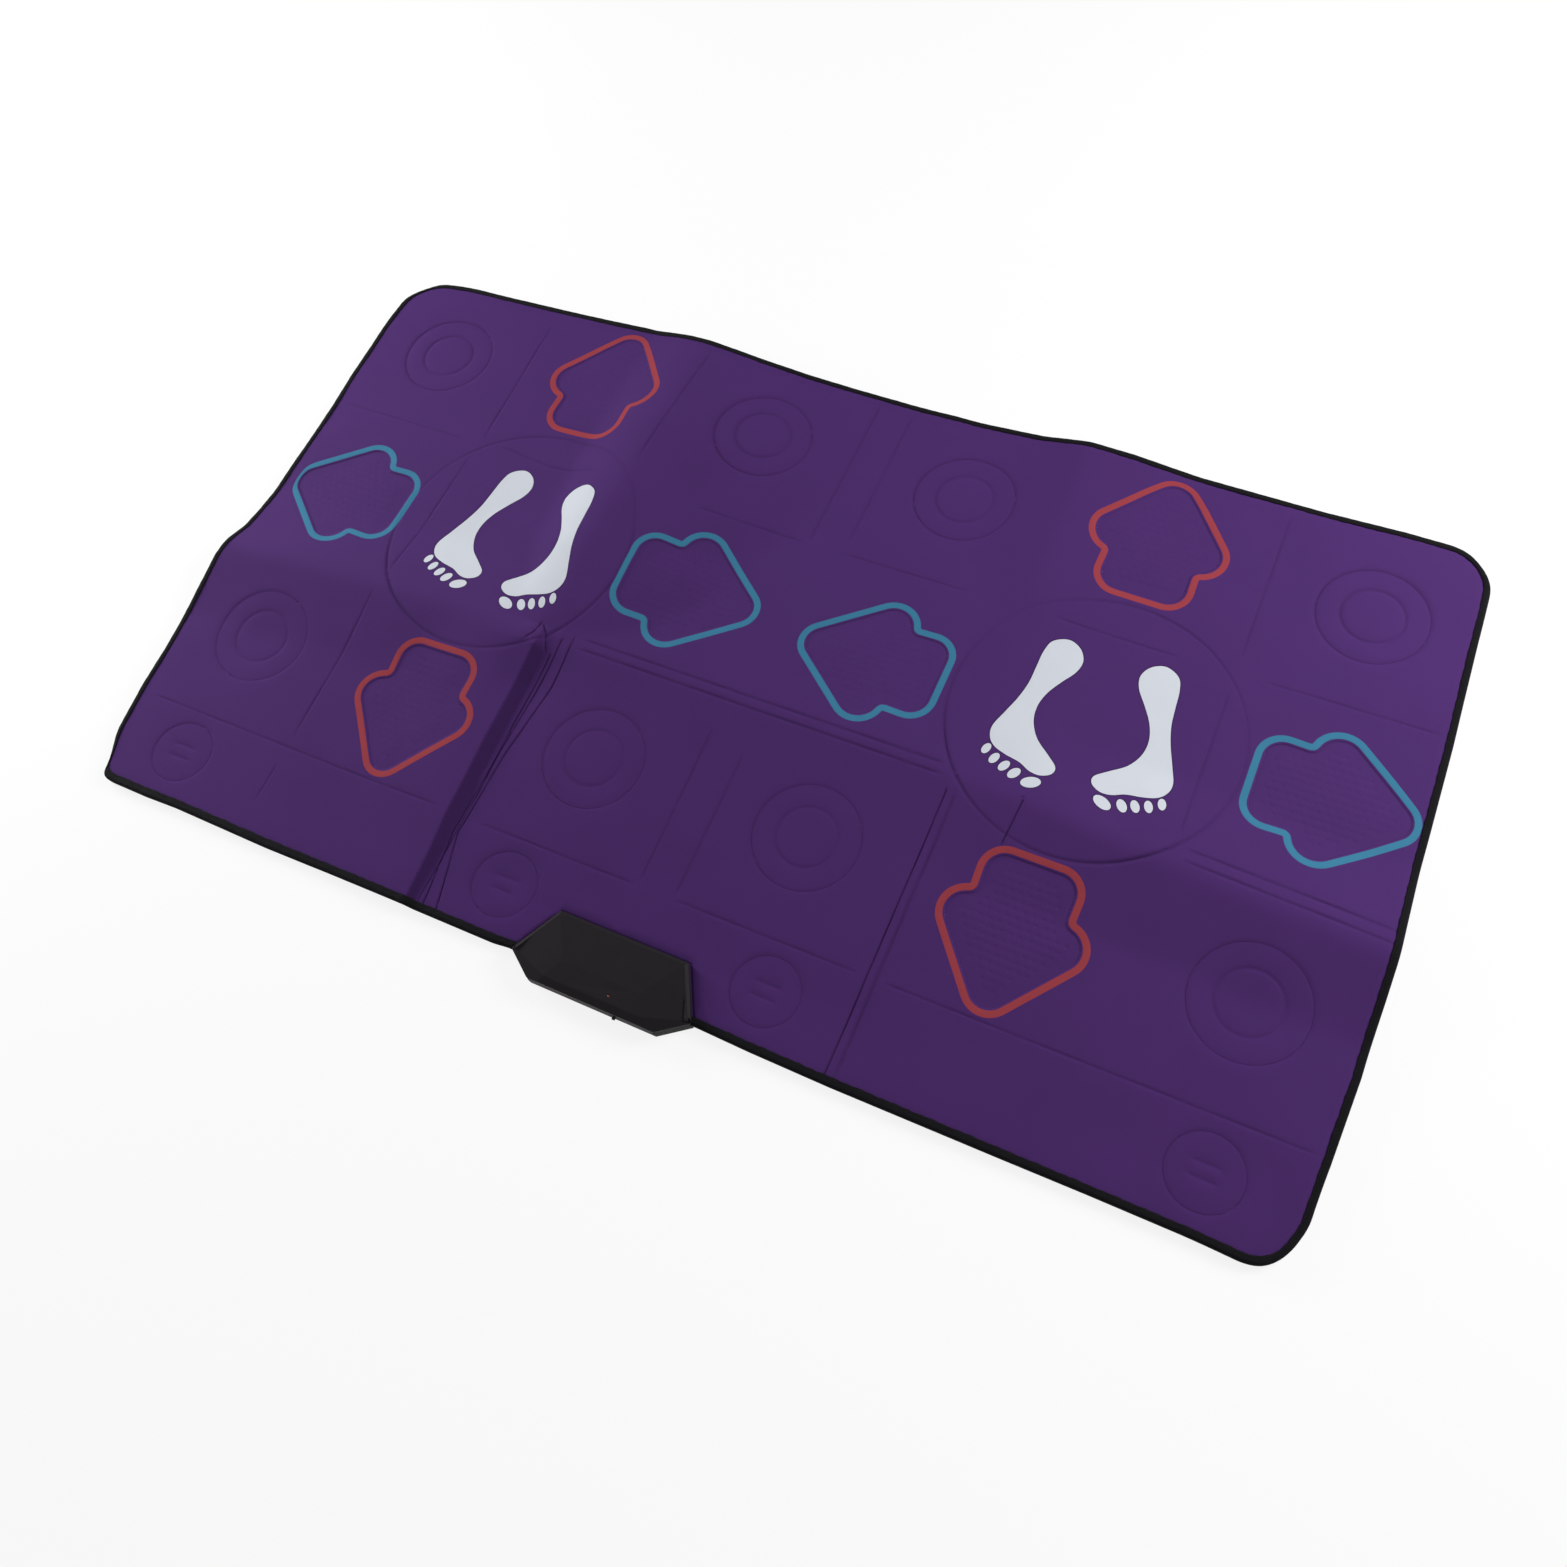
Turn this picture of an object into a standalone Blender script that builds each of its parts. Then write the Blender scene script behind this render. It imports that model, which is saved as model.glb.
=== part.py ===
# Two-player folding dance mat with a clamped-on control box
# Metres, +Z up. The front edge, with the box, faces -Y.
# The mat lies on the floor with the waves that its creases left in it.
import bpy
import bmesh
from bisect import bisect_right
from math import atan2, ceil, cos, pi, sin, tan
from mathutils import Matrix, Vector

# Mat: overall sizes
MAT_LENGTH = 1.650
MAT_DEPTH = 0.930
CORNER_RADIUS = 0.070
BASE_THICK = 0.0040
SENSOR_THICK = 0.0010
COVER_THICK = 0.0054
GAP = 0.0003          # clearance between neighbouring pieces
EMBOSS = 0.0010       # how far the step pads lie below the cover

# Edge tape, a U-shaped strip round the whole mat
TAPE_THICK = 0.0008
TAPE_WIDTH = 0.0050

# Creases, and the height of each fold axis
OUTER_PANEL = 0.535   # from either end of the mat to its cross crease
BACK_ROW = 0.535      # from the back edge to the long crease
LONG_AXIS_Z = 0.0375
RIGHT_AXIS_Z = 0.0375
LEFT_AXIS_Z = 0.0585

# Waves that the folds left in the mat, as heights of its underside
LONG_RIDGE = 0.0250
LONG_RIDGE_FOOT = 0.110    # half width of the ridge near the ends
LONG_RIDGE_DRIFT = 0.030   # the ridge runs this far forward at the ends
LEFT_RIDGE = 0.0430
LEFT_RIDGE_EDGE = 0.0220   # at the back edge
RIGHT_RIDGE = 0.0220
LIP = 0.0080               # raised lip left of the front left crease
WIDEST_CELL = 0.160
# Distances from the crease, and the share of the ridge's height there
LEFT_SHAPE = ((-0.240, 0), (-0.170, 0.06), (-0.095, 0.20), (-0.035, 0.82), (0, 1),
              (0.062, 0.86), (0.140, 0.62), (0.230, 0.33), (0.340, 0))
RIGHT_SHAPE = ((-0.160, 0), (-0.070, 0.45), (0, 1), (0.060, 0.50), (0.150, 0))
# The long ridge's front slope, by the share of the way to the flat front strip
FRONT_FALL = ((0, 1), (0.11, 0.80), (0.235, 0.62), (0.44, 0.42), (0.72, 0.20), (1, 0))
VALLEY_SHAPE = ((-0.095, 0), (-0.035, 0.30), (0, 0.65), (0.062, 0.25), (0.140, 0))
LIP_SHAPE = ((-0.240, 0), (-0.035, 1), (0, 0.38), (0.030, 0))
ROOF_SHARE = ((0, 1), (0.170, 0.45), (0.535, 0.30))   # by the distance past a cross crease
VALLEY_START = 0.075
LIP_FADE = 0.090           # the lip sinks to LIP_FRONT of its height over this length
LIP_FRONT = 0.4
RIDGE_SHOULDER = 0.050     # from the long crease back to where the left ridge is 0.8 of its height
RIDGE_FULL = 0.130         # from the long crease back to the full cross ridges
RIDGE_END = 0.175          # from the back edge to where the left ridge starts to sink
FLAT_MARGIN = 0.011        # flat mat behind the control box

# Step pads
PAD_TRAVEL = 0.0015
PLAYER_FROM_END = 0.4075
PLAYER_FROM_BACK = 0.407
PLAYER_DRIFT = 0.0085    # both players' pads lie this far right of even
ARROW_REACH_ACROSS = 0.281   # player's centre to the middle of a left or right arrow
ARROW_REACH_ALONG = 0.287    # the same for a back or front arrow
PRINT_BAND = 0.0095      # width of the printed outline round an arrow
PRINT_MARGIN = 0.0020    # from the printed outline to the pad
CORNER_PAD_REACH = 0.268
CORNER_PAD_REACH_ALONG = 0.264
CORNER_PAD_RADIUS = 0.068
MENU_PAD_RADIUS = 0.043
MENU_FROM_FRONT = 0.068
MENU_OUTER_FROM_END = 0.130
MENU_INNER_FROM_END = 0.645
ROUND_PAD_SIDES = 20
# One side of an arrow that points along +Y, as corners with their radii
ARROW_SIDE = ((0.0660, -0.0990, 0.0340), (0.0642, -0.0403, 0.0020),
              (0.1165, -0.0226, 0.0360), (0.0000, 0.1217, 0.0333))
# How far an arrow's print lies from its even place
ARROW_SHIFT = {"left_1": (0.0050, -0.0115), "right_1": (0.0, -0.0020), "back_2": (-0.0070, -0.0020),
               "left_2": (-0.0045, -0.0135), "right_2": (0.0065, 0.0025)}

# Control box: a six-sided case with pointed ends, clamped over the front edge
BOX_X = 0.003
BOX_BACK_HALF = 0.088
BOX_TIP_HALF = 0.123
BOX_FRONT_HALF = 0.086
BOX_OVER_MAT = 0.064
BOX_PAST_MAT = 0.028
BOX_TOP_Z = 0.0250
BOX_BACK_Z = 0.0205
BOX_FRONT_Z = 0.0225
BOX_TIP_Z = 0.0160
BOX_FLAT_BACK_HALF = 0.053
BOX_FLAT_FRONT_HALF = 0.066
BOX_FLAT_BACK = 0.007      # from the mat's front edge back to the flat top
BOX_FLAT_FRONT = 0.018     # from the mat's front edge forward to its end
BOX_WALL = 0.0018
CLAMP_PLATE = 0.0022
CLAMP_HALF = 0.078
CLAMP_MARGIN = 0.006       # from the box's back edge to the clamp plate
SCREW_X = 0.055
SCREW_FROM_BACK = 0.0195
SCREW_RADIUS = 0.0013
SCREW_HEAD_RADIUS = 0.0026
SCREW_HEAD = 0.0012
SCREW_TIP_Z = 0.0190
BOSS_RADIUS = 0.0036

# Circuit board and what it carries
BOARD_THICK = 0.0016
BOARD_Z = 0.0134
BOARD_LEFT = -0.030
BOARD_RIGHT = 0.072
BOARD_FROM_FRONT = 0.0030
BOARD_DEPTH = 0.0615
POST_RADIUS = 0.0026
TAIL_HALF = 0.015
TAIL_THICK = 0.0005
TAIL_TOP_Z = 0.0175
CONNECTOR = (0.034, 0.0050, 0.0030)
CHIP = (0.012, 0.012, 0.0018)
RADIO = (0.020, 0.014, 0.0026)
LED_X = 0.019
LED_FROM_EDGE = 0.010
LED_RADIUS = 0.0015

# Slide switch
SWITCH_X = 0.0325
SWITCH_BODY = (0.0125, 0.0042, 0.0040)
SWITCH_TRAVEL = 0.0040
LEVER_WIDTH = 0.0040
LEVER_HEIGHT = 0.0018
LEVER_PROUD = 0.0035

# Batteries, two side by side in the part in front of the mat
BATTERY_RADIUS = 0.00525
BATTERY_LENGTH = 0.0434
BATTERY_NUB_RADIUS = 0.0019
BATTERY_NUB = 0.0010
BATTERY_MARGIN = 0.0028    # from the case wall at its front corner to the left contact
CONTACT_THICK = 0.0006
DOOR_THICK = 0.0015
DOOR_INSET = 0.0030        # the battery's ends rest this far past the door

# Derived places in the mat's own plane, with the middle of the mat at zero
HALF_X = MAT_LENGTH / 2
HALF_Y = MAT_DEPTH / 2
CREASE_LEFT = -HALF_X + OUTER_PANEL
CREASE_RIGHT = HALF_X - OUTER_PANEL
CREASE_LONG = HALF_Y - BACK_ROW
FLAT_STRIP = BOX_OVER_MAT + FLAT_MARGIN
FRONT_SLOPE = MAT_DEPTH - BACK_ROW - FLAT_STRIP
SENSOR_Z = BASE_THICK + GAP
COVER_Z = SENSOR_Z + SENSOR_THICK + GAP
COVER_TOP = COVER_Z + COVER_THICK
PAD_Z = SENSOR_Z + SENSOR_THICK + GAP + PAD_TRAVEL
PAD_TOP = COVER_TOP - EMBOSS
TAPE_TOP = COVER_TOP + GAP + TAPE_THICK
TAPE_OUT = GAP + TAPE_THICK
PLATE_OUT = TAPE_OUT + 0.003
REACH = 0.02               # how far a cutter runs past what it cuts
SLIVER = 0.0001            # the same, where something else is close behind
BOX_BACK_Y = -HALF_Y + BOX_OVER_MAT
BOX_FRONT_Y = -HALF_Y - BOX_PAST_MAT
TUB_BACK_Y = -HALF_Y - TAPE_OUT - GAP
TUB_TOP = TAPE_TOP
LEVER_TIP_Y = BOX_FRONT_Y - LEVER_PROUD
BATTERY_LEFT = -BOX_FRONT_HALF + BOX_WALL + BATTERY_MARGIN + CONTACT_THICK + GAP
# The origin is the middle of the footprint, which the lever and the back tape bound
CENTRE_SHIFT = -(LEVER_TIP_Y + HALF_Y + TAPE_OUT) / 2

COLOURS = {
    "cover": ((0.075, 0.030, 0.140), 0.70, 0.0),
    "pad": ((0.068, 0.027, 0.128), 0.72, 0.0),
    "sensor": ((0.55, 0.56, 0.58), 0.35, 0.0),
    "base": ((0.018, 0.018, 0.020), 0.85, 0.0),
    "tape": ((0.009, 0.009, 0.010), 0.75, 0.0),
    "case": ((0.018, 0.018, 0.019), 0.45, 0.0),
    "board": ((0.015, 0.110, 0.045), 0.40, 0.0),
    "chip": ((0.010, 0.010, 0.011), 0.50, 0.0),
    "metal": ((0.62, 0.62, 0.60), 0.30, 1.0),
    "lens": ((0.30, 0.020, 0.015), 0.15, 0.0),
    "cell": ((0.10, 0.13, 0.16), 0.35, 0.0),
}


def clear_scene():
    for ob in list(bpy.data.objects):
        bpy.data.objects.remove(ob, do_unlink=True)


def collection(name):
    col = bpy.data.collections.new(name)
    bpy.context.scene.collection.children.link(col)
    return col


clear_scene()
PARTS = collection("dance_mat")
CUTTERS = collection("cutters")


def paint(ob, kind):
    colour, roughness, metallic = COLOURS[kind]
    mat = bpy.data.materials.new(ob.name)
    mat.use_nodes = True
    shader = mat.node_tree.nodes["Principled BSDF"]
    shader.inputs["Base Color"].default_value = (*colour, 1)
    shader.inputs["Roughness"].default_value = roughness
    shader.inputs["Metallic"].default_value = metallic
    ob.data.materials.clear()
    ob.data.materials.append(mat)


def add_object(name, bm):
    bmesh.ops.recalc_face_normals(bm, faces=bm.faces)
    mesh = bpy.data.meshes.new(name)
    bm.to_mesh(mesh)
    bm.free()
    ob = bpy.data.objects.new(name, mesh)
    PARTS.objects.link(ob)
    return ob


# Outlines
def interpolate(value, points):
    if value <= points[0][0]:
        return points[0][1]
    for (a, low), (b, high) in zip(points, points[1:]):
        if value <= b:
            return low + (high - low) * (value - a) / (b - a)
    return points[-1][1]


def inset(corners, distance):
    # corners run counterclockwise, each (x, y, radius)
    out = []
    for k, (x, y, r) in enumerate(corners):
        ax, ay, _ = corners[k - 1]
        bx, by, _ = corners[(k + 1) % len(corners)]
        u = Vector((x - ax, y - ay)).normalized()
        v = Vector((bx - x, by - y)).normalized()
        n1 = Vector((-u.y, u.x))
        n2 = Vector((-v.y, v.x))
        move = (n1 + n2) * (distance / (1 + n1.dot(n2)))
        convex = u.x * v.y - u.y * v.x > 0
        out.append((x + move.x, y + move.y, max(0.0005, r - distance if convex else r + distance)))
    return out


def rounded(corners, step=0.42):
    points = []
    for k, (x, y, r) in enumerate(corners):
        ax, ay, _ = corners[k - 1]
        bx, by, _ = corners[(k + 1) % len(corners)]
        u = Vector((ax - x, ay - y)).normalized()
        v = Vector((bx - x, by - y)).normalized()
        half = u.angle(v) / 2
        if r < 0.0025:
            points.append((x, y))
            continue
        centre = Vector((x, y)) + (u + v).normalized() * (r / sin(half))
        start = Vector((x, y)) + u * (r / tan(half)) - centre
        turn = pi - 2 * half
        if u.x * v.y - u.y * v.x > 0:
            turn = -turn
        steps = max(2, ceil(abs(turn) / step))
        a0 = atan2(start.y, start.x)
        for i in range(steps + 1):
            a = a0 + turn * i / steps
            points.append((centre.x + r * cos(a), centre.y + r * sin(a)))
    return points


def circle(radius, sides, x=0.0, y=0.0):
    angles = [2 * pi * i / sides for i in range(sides)]
    return [(x + radius * cos(a), y + radius * sin(a)) for a in angles]


def mat_outline(outward):
    x = HALF_X + outward
    y = HALF_Y + outward
    r = CORNER_RADIUS + outward
    return rounded([(-x, -y, r), (x, -y, r), (x, y, r), (-x, y, r)], 0.26)


# Height of the mat's underside, flat inside each triangle of one control net
def crest_height(x, y):
    past = max(0.0, abs(x) - (CREASE_RIGHT if x > 0 else -CREASE_LEFT))
    ridge_y = CREASE_LONG - LONG_RIDGE_DRIFT * min(1, past / OUTER_PANEL)
    if y >= ridge_y:
        roof = (HALF_Y - y) / (HALF_Y - ridge_y)
    else:
        roof = interpolate((ridge_y - y) / FRONT_SLOPE, FRONT_FALL)
    narrow = max(0.0, 1 - abs(y - ridge_y) / LONG_RIDGE_FOOT)
    share = interpolate(past, ROOF_SHARE)
    height = LONG_RIDGE * (share * roof + (1 - share) * narrow)
    behind = y - CREASE_LONG
    if behind >= 0:
        left = interpolate(behind, ((0, LONG_RIDGE), (RIDGE_SHOULDER, 0.8 * LEFT_RIDGE),
                                    (RIDGE_FULL, LEFT_RIDGE), (BACK_ROW - RIDGE_END, LEFT_RIDGE),
                                    (BACK_ROW, LEFT_RIDGE_EDGE)))
        right = interpolate(behind, ((0, LONG_RIDGE), (RIDGE_FULL, RIGHT_RIDGE), (BACK_ROW, RIGHT_RIDGE)))
        return max(height, left * interpolate(x - CREASE_LEFT, LEFT_SHAPE),
                   right * interpolate(x - CREASE_RIGHT, RIGHT_SHAPE))
    fade = min(1, -behind / VALLEY_START)
    valley = 1 - fade * interpolate(x - CREASE_LEFT, VALLEY_SHAPE)
    flatten = interpolate(y + HALF_Y, ((FLAT_STRIP, LIP_FRONT), (FLAT_STRIP + LIP_FADE, 1)))
    return height * valley + LIP * fade * flatten * interpolate(x - CREASE_LEFT, LIP_SHAPE)


def clamp(value, half):
    return min(half, max(-half, value))


def net_lines(places, low, high):
    kept = [low]
    for place in sorted(p for p in places if low < p < high) + [high]:
        if place - kept[-1] < 0.004:
            continue
        cells = ceil((place - kept[-1]) / WIDEST_CELL)
        start = kept[-1]
        kept += [start + (place - start) * (k + 1) / cells for k in range(cells)]
    return kept


NET_X = net_lines(
    [CREASE_LEFT + d for d, _ in LEFT_SHAPE] + [CREASE_RIGHT + d for d, _ in RIGHT_SHAPE],
    -HALF_X - PLATE_OUT, HALF_X + PLATE_OUT)
NET_Y = net_lines(
    [CREASE_LONG - share * FRONT_SLOPE for share, _ in FRONT_FALL]
    + [CREASE_LONG + RIDGE_SHOULDER, CREASE_LONG + RIDGE_FULL, HALF_Y - RIDGE_END],
    -HALF_Y - PLATE_OUT, HALF_Y + PLATE_OUT)
NET = [[crest_height(clamp(x, HALF_X), clamp(y, HALF_Y)) for x in NET_X] for y in NET_Y]


def lift(x, y):
    i = min(len(NET_X) - 2, max(0, bisect_right(NET_X, x) - 1))
    j = min(len(NET_Y) - 2, max(0, bisect_right(NET_Y, y) - 1))
    a = (x - NET_X[i]) / (NET_X[i + 1] - NET_X[i])
    b = (y - NET_Y[j]) / (NET_Y[j + 1] - NET_Y[j])
    if a + b <= 1:
        return NET[j][i] + a * (NET[j][i + 1] - NET[j][i]) + b * (NET[j + 1][i] - NET[j][i])
    far = NET[j + 1][i + 1]
    return far + (1 - a) * (NET[j + 1][i] - far) + (1 - b) * (NET[j][i + 1] - far)


# Solids
def slab(name, outline, z0, z1):
    # a flat outline given a thickness
    curve = bpy.data.curves.new(name, "CURVE")
    curve.dimensions = "2D"
    curve.fill_mode = "BOTH"
    curve.extrude = (z1 - z0) / 2
    spline = curve.splines.new("POLY")
    spline.points.add(len(outline) - 1)
    for point, (x, y) in zip(spline.points, outline):
        point.co = (x, y, 0, 1)
    spline.use_cyclic_u = True
    ob = bpy.data.objects.new(name + "_outline", curve)
    bpy.context.scene.collection.objects.link(ob)
    mesh = bpy.data.meshes.new_from_object(ob.evaluated_get(bpy.context.evaluated_depsgraph_get()))
    bpy.data.objects.remove(ob)
    bm = bmesh.new()
    bm.from_mesh(mesh)
    bpy.data.meshes.remove(mesh)
    bmesh.ops.remove_doubles(bm, verts=bm.verts, dist=1e-6)
    bmesh.ops.dissolve_limit(bm, angle_limit=0.01, verts=bm.verts, edges=bm.edges)
    bmesh.ops.translate(bm, vec=(0, 0, (z0 + z1) / 2), verts=bm.verts)
    return add_object(name, bm)


def box(name, low, high):
    bm = bmesh.new()
    bmesh.ops.create_cube(bm, size=1)
    size = [b - a for a, b in zip(low, high)]
    bmesh.ops.scale(bm, vec=size, verts=bm.verts)
    bmesh.ops.translate(bm, vec=[(a + b) / 2 for a, b in zip(low, high)], verts=bm.verts)
    return add_object(name, bm)


def rod(name, x, y, z0, z1, radius, sides=16):
    bm = bmesh.new()
    bmesh.ops.create_cone(bm, cap_ends=True, segments=sides, radius1=radius, radius2=radius, depth=z1 - z0)
    bmesh.ops.translate(bm, vec=(x, y, (z0 + z1) / 2), verts=bm.verts)
    return add_object(name, bm)


def plate(name, x0, x1, y0, y1, z0, z1):
    # a box cut along the control net, so that it can follow the waves
    bm = bmesh.new()
    bmesh.ops.create_cube(bm, size=1)
    bmesh.ops.scale(bm, vec=(x1 - x0, y1 - y0, z1 - z0), verts=bm.verts)
    bmesh.ops.translate(bm, vec=((x0 + x1) / 2, (y0 + y1) / 2, (z0 + z1) / 2), verts=bm.verts)
    cuts = [(Vector((x, 0, 0)), Vector((1, 0, 0))) for x in NET_X if x0 + 1e-5 < x < x1 - 1e-5]
    cuts += [(Vector((0, y, 0)), Vector((0, 1, 0))) for y in NET_Y if y0 + 1e-5 < y < y1 - 1e-5]
    for point, normal in cuts:
        everything = bm.verts[:] + bm.edges[:] + bm.faces[:]
        bmesh.ops.bisect_plane(bm, geom=everything, plane_co=point, plane_no=normal)
    for i in range(len(NET_X) - 1):
        for j in range(len(NET_Y) - 1):
            split_cell(bm, NET_X[i], NET_X[i + 1], NET_Y[j], NET_Y[j + 1])
    return add_object(name, bm)


def split_cell(bm, x0, x1, y0, y1):
    # the diagonal runs from the cell's lower right to its upper left corner
    inside = []
    for face in bm.faces:
        if abs(face.normal.z) > 0.5:
            c = face.calc_center_median()
            if x0 < c.x < x1 and y0 < c.y < y1:
                inside.append(face)
    if not inside:
        return
    geom = set(inside)
    for face in inside:
        geom.update(face.edges)
        geom.update(face.verts)
    normal = Vector((y1 - y0, x1 - x0, 0)).normalized()
    bmesh.ops.bisect_plane(bm, geom=list(geom), plane_co=Vector((x1, y0, 0)), plane_no=normal, dist=1e-7)


def cut(ob, tool, operation="DIFFERENCE"):
    if tool.name not in CUTTERS.objects:
        PARTS.objects.unlink(tool)
        CUTTERS.objects.link(tool)
        tool.hide_render = True
        tool.display_type = "WIRE"
    boolean = ob.modifiers.new(tool.name, "BOOLEAN")
    boolean.object = tool
    boolean.operation = operation
    boolean.solver = "EXACT"
    return ob


def settle(ob):
    # the shape that the modifiers give becomes the object's own
    mesh = bpy.data.meshes.new_from_object(ob.evaluated_get(bpy.context.evaluated_depsgraph_get()))
    ob.modifiers.clear()
    old = ob.data
    ob.data = mesh
    bpy.data.meshes.remove(old)
    return ob


def follow_waves(ob):
    settle(ob)
    bm = bmesh.new()
    bm.from_mesh(ob.data)
    bmesh.ops.remove_doubles(bm, verts=bm.verts, dist=1e-6)
    for vert in bm.verts:
        vert.co.z += lift(vert.co.x, vert.co.y)
    bmesh.ops.triangulate(bm, faces=bm.faces)
    bm.to_mesh(ob.data)
    bm.free()
    return ob


# Fold axes, as empties that carry the panels. The back row folds up and over the front row,
# and each outer third folds up and over the middle, the right one first.
def empty(name, place, parent=None):
    ob = bpy.data.objects.new(name, None)
    PARTS.objects.link(ob)
    ob.parent = parent
    ob.location = Vector(place) - (Vector(PLACES[parent.name]) if parent else Vector())
    PLACES[name] = tuple(place)
    return ob


def carry(ob, pivot, origin=(0, 0, 0)):
    # the object's own origin goes to the place named, and the pivot carries it
    ob.data.transform(Matrix.Translation(-Vector(origin)))
    ob.parent = pivot
    ob.location = Vector(origin) - Vector(PLACES[pivot.name])


PLACES = {}
FRAME = empty("mat_frame", (0, 0, 0))
FRAME.location.y = CENTRE_SHIFT
LONG_PIVOT = empty("long_fold_axis", (0, CREASE_LONG, LONG_AXIS_Z), FRAME)
PIVOTS = {
    "front_centre": FRAME,
    "back_centre": LONG_PIVOT,
    "front_left": empty("left_fold_axis", (CREASE_LEFT, 0, LEFT_AXIS_Z), FRAME),
    "front_right": empty("right_fold_axis", (CREASE_RIGHT, 0, RIGHT_AXIS_Z), FRAME),
    "back_left": empty("left_fold_back_axis", (CREASE_LEFT, 0, LEFT_AXIS_Z), LONG_PIVOT),
    "back_right": empty("right_fold_back_axis", (CREASE_RIGHT, 0, RIGHT_AXIS_Z), LONG_PIVOT),
}

SIDE = PLATE_OUT
PANELS = {
    "back_left": (-HALF_X - SIDE, CREASE_LEFT - GAP / 2, CREASE_LONG + GAP / 2, HALF_Y + SIDE),
    "back_centre": (CREASE_LEFT + GAP / 2, CREASE_RIGHT - GAP / 2, CREASE_LONG + GAP / 2, HALF_Y + SIDE),
    "back_right": (CREASE_RIGHT + GAP / 2, HALF_X + SIDE, CREASE_LONG + GAP / 2, HALF_Y + SIDE),
    "front_left": (-HALF_X - SIDE, CREASE_LEFT - GAP / 2, -HALF_Y - SIDE, CREASE_LONG - GAP / 2),
    "front_centre": (CREASE_LEFT + GAP / 2, CREASE_RIGHT - GAP / 2, -HALF_Y - SIDE, CREASE_LONG - GAP / 2),
    "front_right": (CREASE_RIGHT + GAP / 2, HALF_X + SIDE, -HALF_Y - SIDE, CREASE_LONG - GAP / 2),
}


def panel_of(x, y):
    row = "back" if y > CREASE_LONG else "front"
    column = "left" if x < CREASE_LEFT else "right" if x > CREASE_RIGHT else "centre"
    return f"{row}_{column}"


# Step pads: name, middle, outline about the middle
def arrow_corners(shrink):
    right = list(ARROW_SIDE)
    left = [(-x, y, r) for x, y, r in reversed(ARROW_SIDE[:-1])]
    return inset(right + left, shrink)


def turned(points, quarter_turns):
    for _ in range(quarter_turns):
        points = [(-y, x) for x, y in points]
    return points


ARROW_WAYS = ("back", "left", "front", "right")   # each a quarter turn past the one before


def pad_list():
    pads = []
    for number, side in ((1, -1), (2, 1)):
        px = side * (HALF_X - PLAYER_FROM_END) + PLAYER_DRIFT
        py = HALF_Y - PLAYER_FROM_BACK
        for turns, way in enumerate(ARROW_WAYS):
            reach = ARROW_REACH_ACROSS if turns % 2 else ARROW_REACH_ALONG
            (dx, dy), = turned([(0, reach)], turns)
            sx, sy = ARROW_SHIFT.get(f"{way}_{number}", (0.0, 0.0))
            pads.append((f"pad_arrow_{way}_{number}", px + dx + sx, py + dy + sy, turns))
        for across, sx in (("left", -1), ("right", 1)):
            for row, sy in (("back", 1), ("front", -1)):
                pads.append((f"pad_corner_{row}_{across}_{number}", px + sx * CORNER_PAD_REACH,
                             py + sy * CORNER_PAD_REACH_ALONG, "corner"))
        menu_y = -HALF_Y + MENU_FROM_FRONT
        outer = side * (HALF_X - MENU_OUTER_FROM_END) + PLAYER_DRIFT
        inner = side * (HALF_X - MENU_INNER_FROM_END) + PLAYER_DRIFT
        pads.append((f"pad_menu_outer_{number}", outer, menu_y, "menu"))
        pads.append((f"pad_menu_inner_{number}", inner, menu_y, "menu"))
    return pads


def pad_outline(kind, shrink):
    if kind == "corner":
        return circle(CORNER_PAD_RADIUS - shrink, ROUND_PAD_SIDES)
    if kind == "menu":
        return circle(MENU_PAD_RADIUS - shrink, ROUND_PAD_SIDES)
    return turned(rounded(arrow_corners(PRINT_BAND + PRINT_MARGIN + shrink), 0.6), kind)


def shifted(points, x, y):
    return [(px + x, py + y) for px, py in points]


PADS = pad_list()
WHOLE = slab("mat_outline", mat_outline(0), -REACH, COVER_TOP + REACH)
SCREW_Y = BOX_BACK_Y - SCREW_FROM_BACK
SCREWS = ((BOX_X - SCREW_X, SCREW_Y), (BOX_X + SCREW_X, SCREW_Y))
TAIL_Y = BOX_FRONT_Y + BOARD_FROM_FRONT + BOARD_DEPTH + GAP


def add_cover(panel):
    x0, x1, y0, y1 = PANELS[panel]
    ob = cut(plate(f"cover_{panel}", x0, x1, y0, y1, COVER_Z, COVER_TOP), WHOLE, "INTERSECT")
    for name, x, y, kind in PADS:
        if panel_of(x, y) == panel:
            pocket = slab(f"pocket_for_{name}", shifted(pad_outline(kind, 0), x, y), 0, COVER_TOP + REACH)
            cut(ob, pocket)
    if panel == "front_centre":
        for number, (x, y) in enumerate(SCREWS):
            cut(ob, rod(f"cover_screw_hole_{number}", x, y, 0, COVER_TOP + REACH, SCREW_RADIUS + 2 * GAP, 12))
        cut(ob, box("tail_slot", (BOX_X - TAIL_HALF - GAP, TAIL_Y - GAP, 0),
                    (BOX_X + TAIL_HALF + GAP, TAIL_Y + TAIL_THICK + GAP, COVER_TOP + REACH)))
    paint(follow_waves(ob), "cover")
    carry(ob, PIVOTS[panel])


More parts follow.
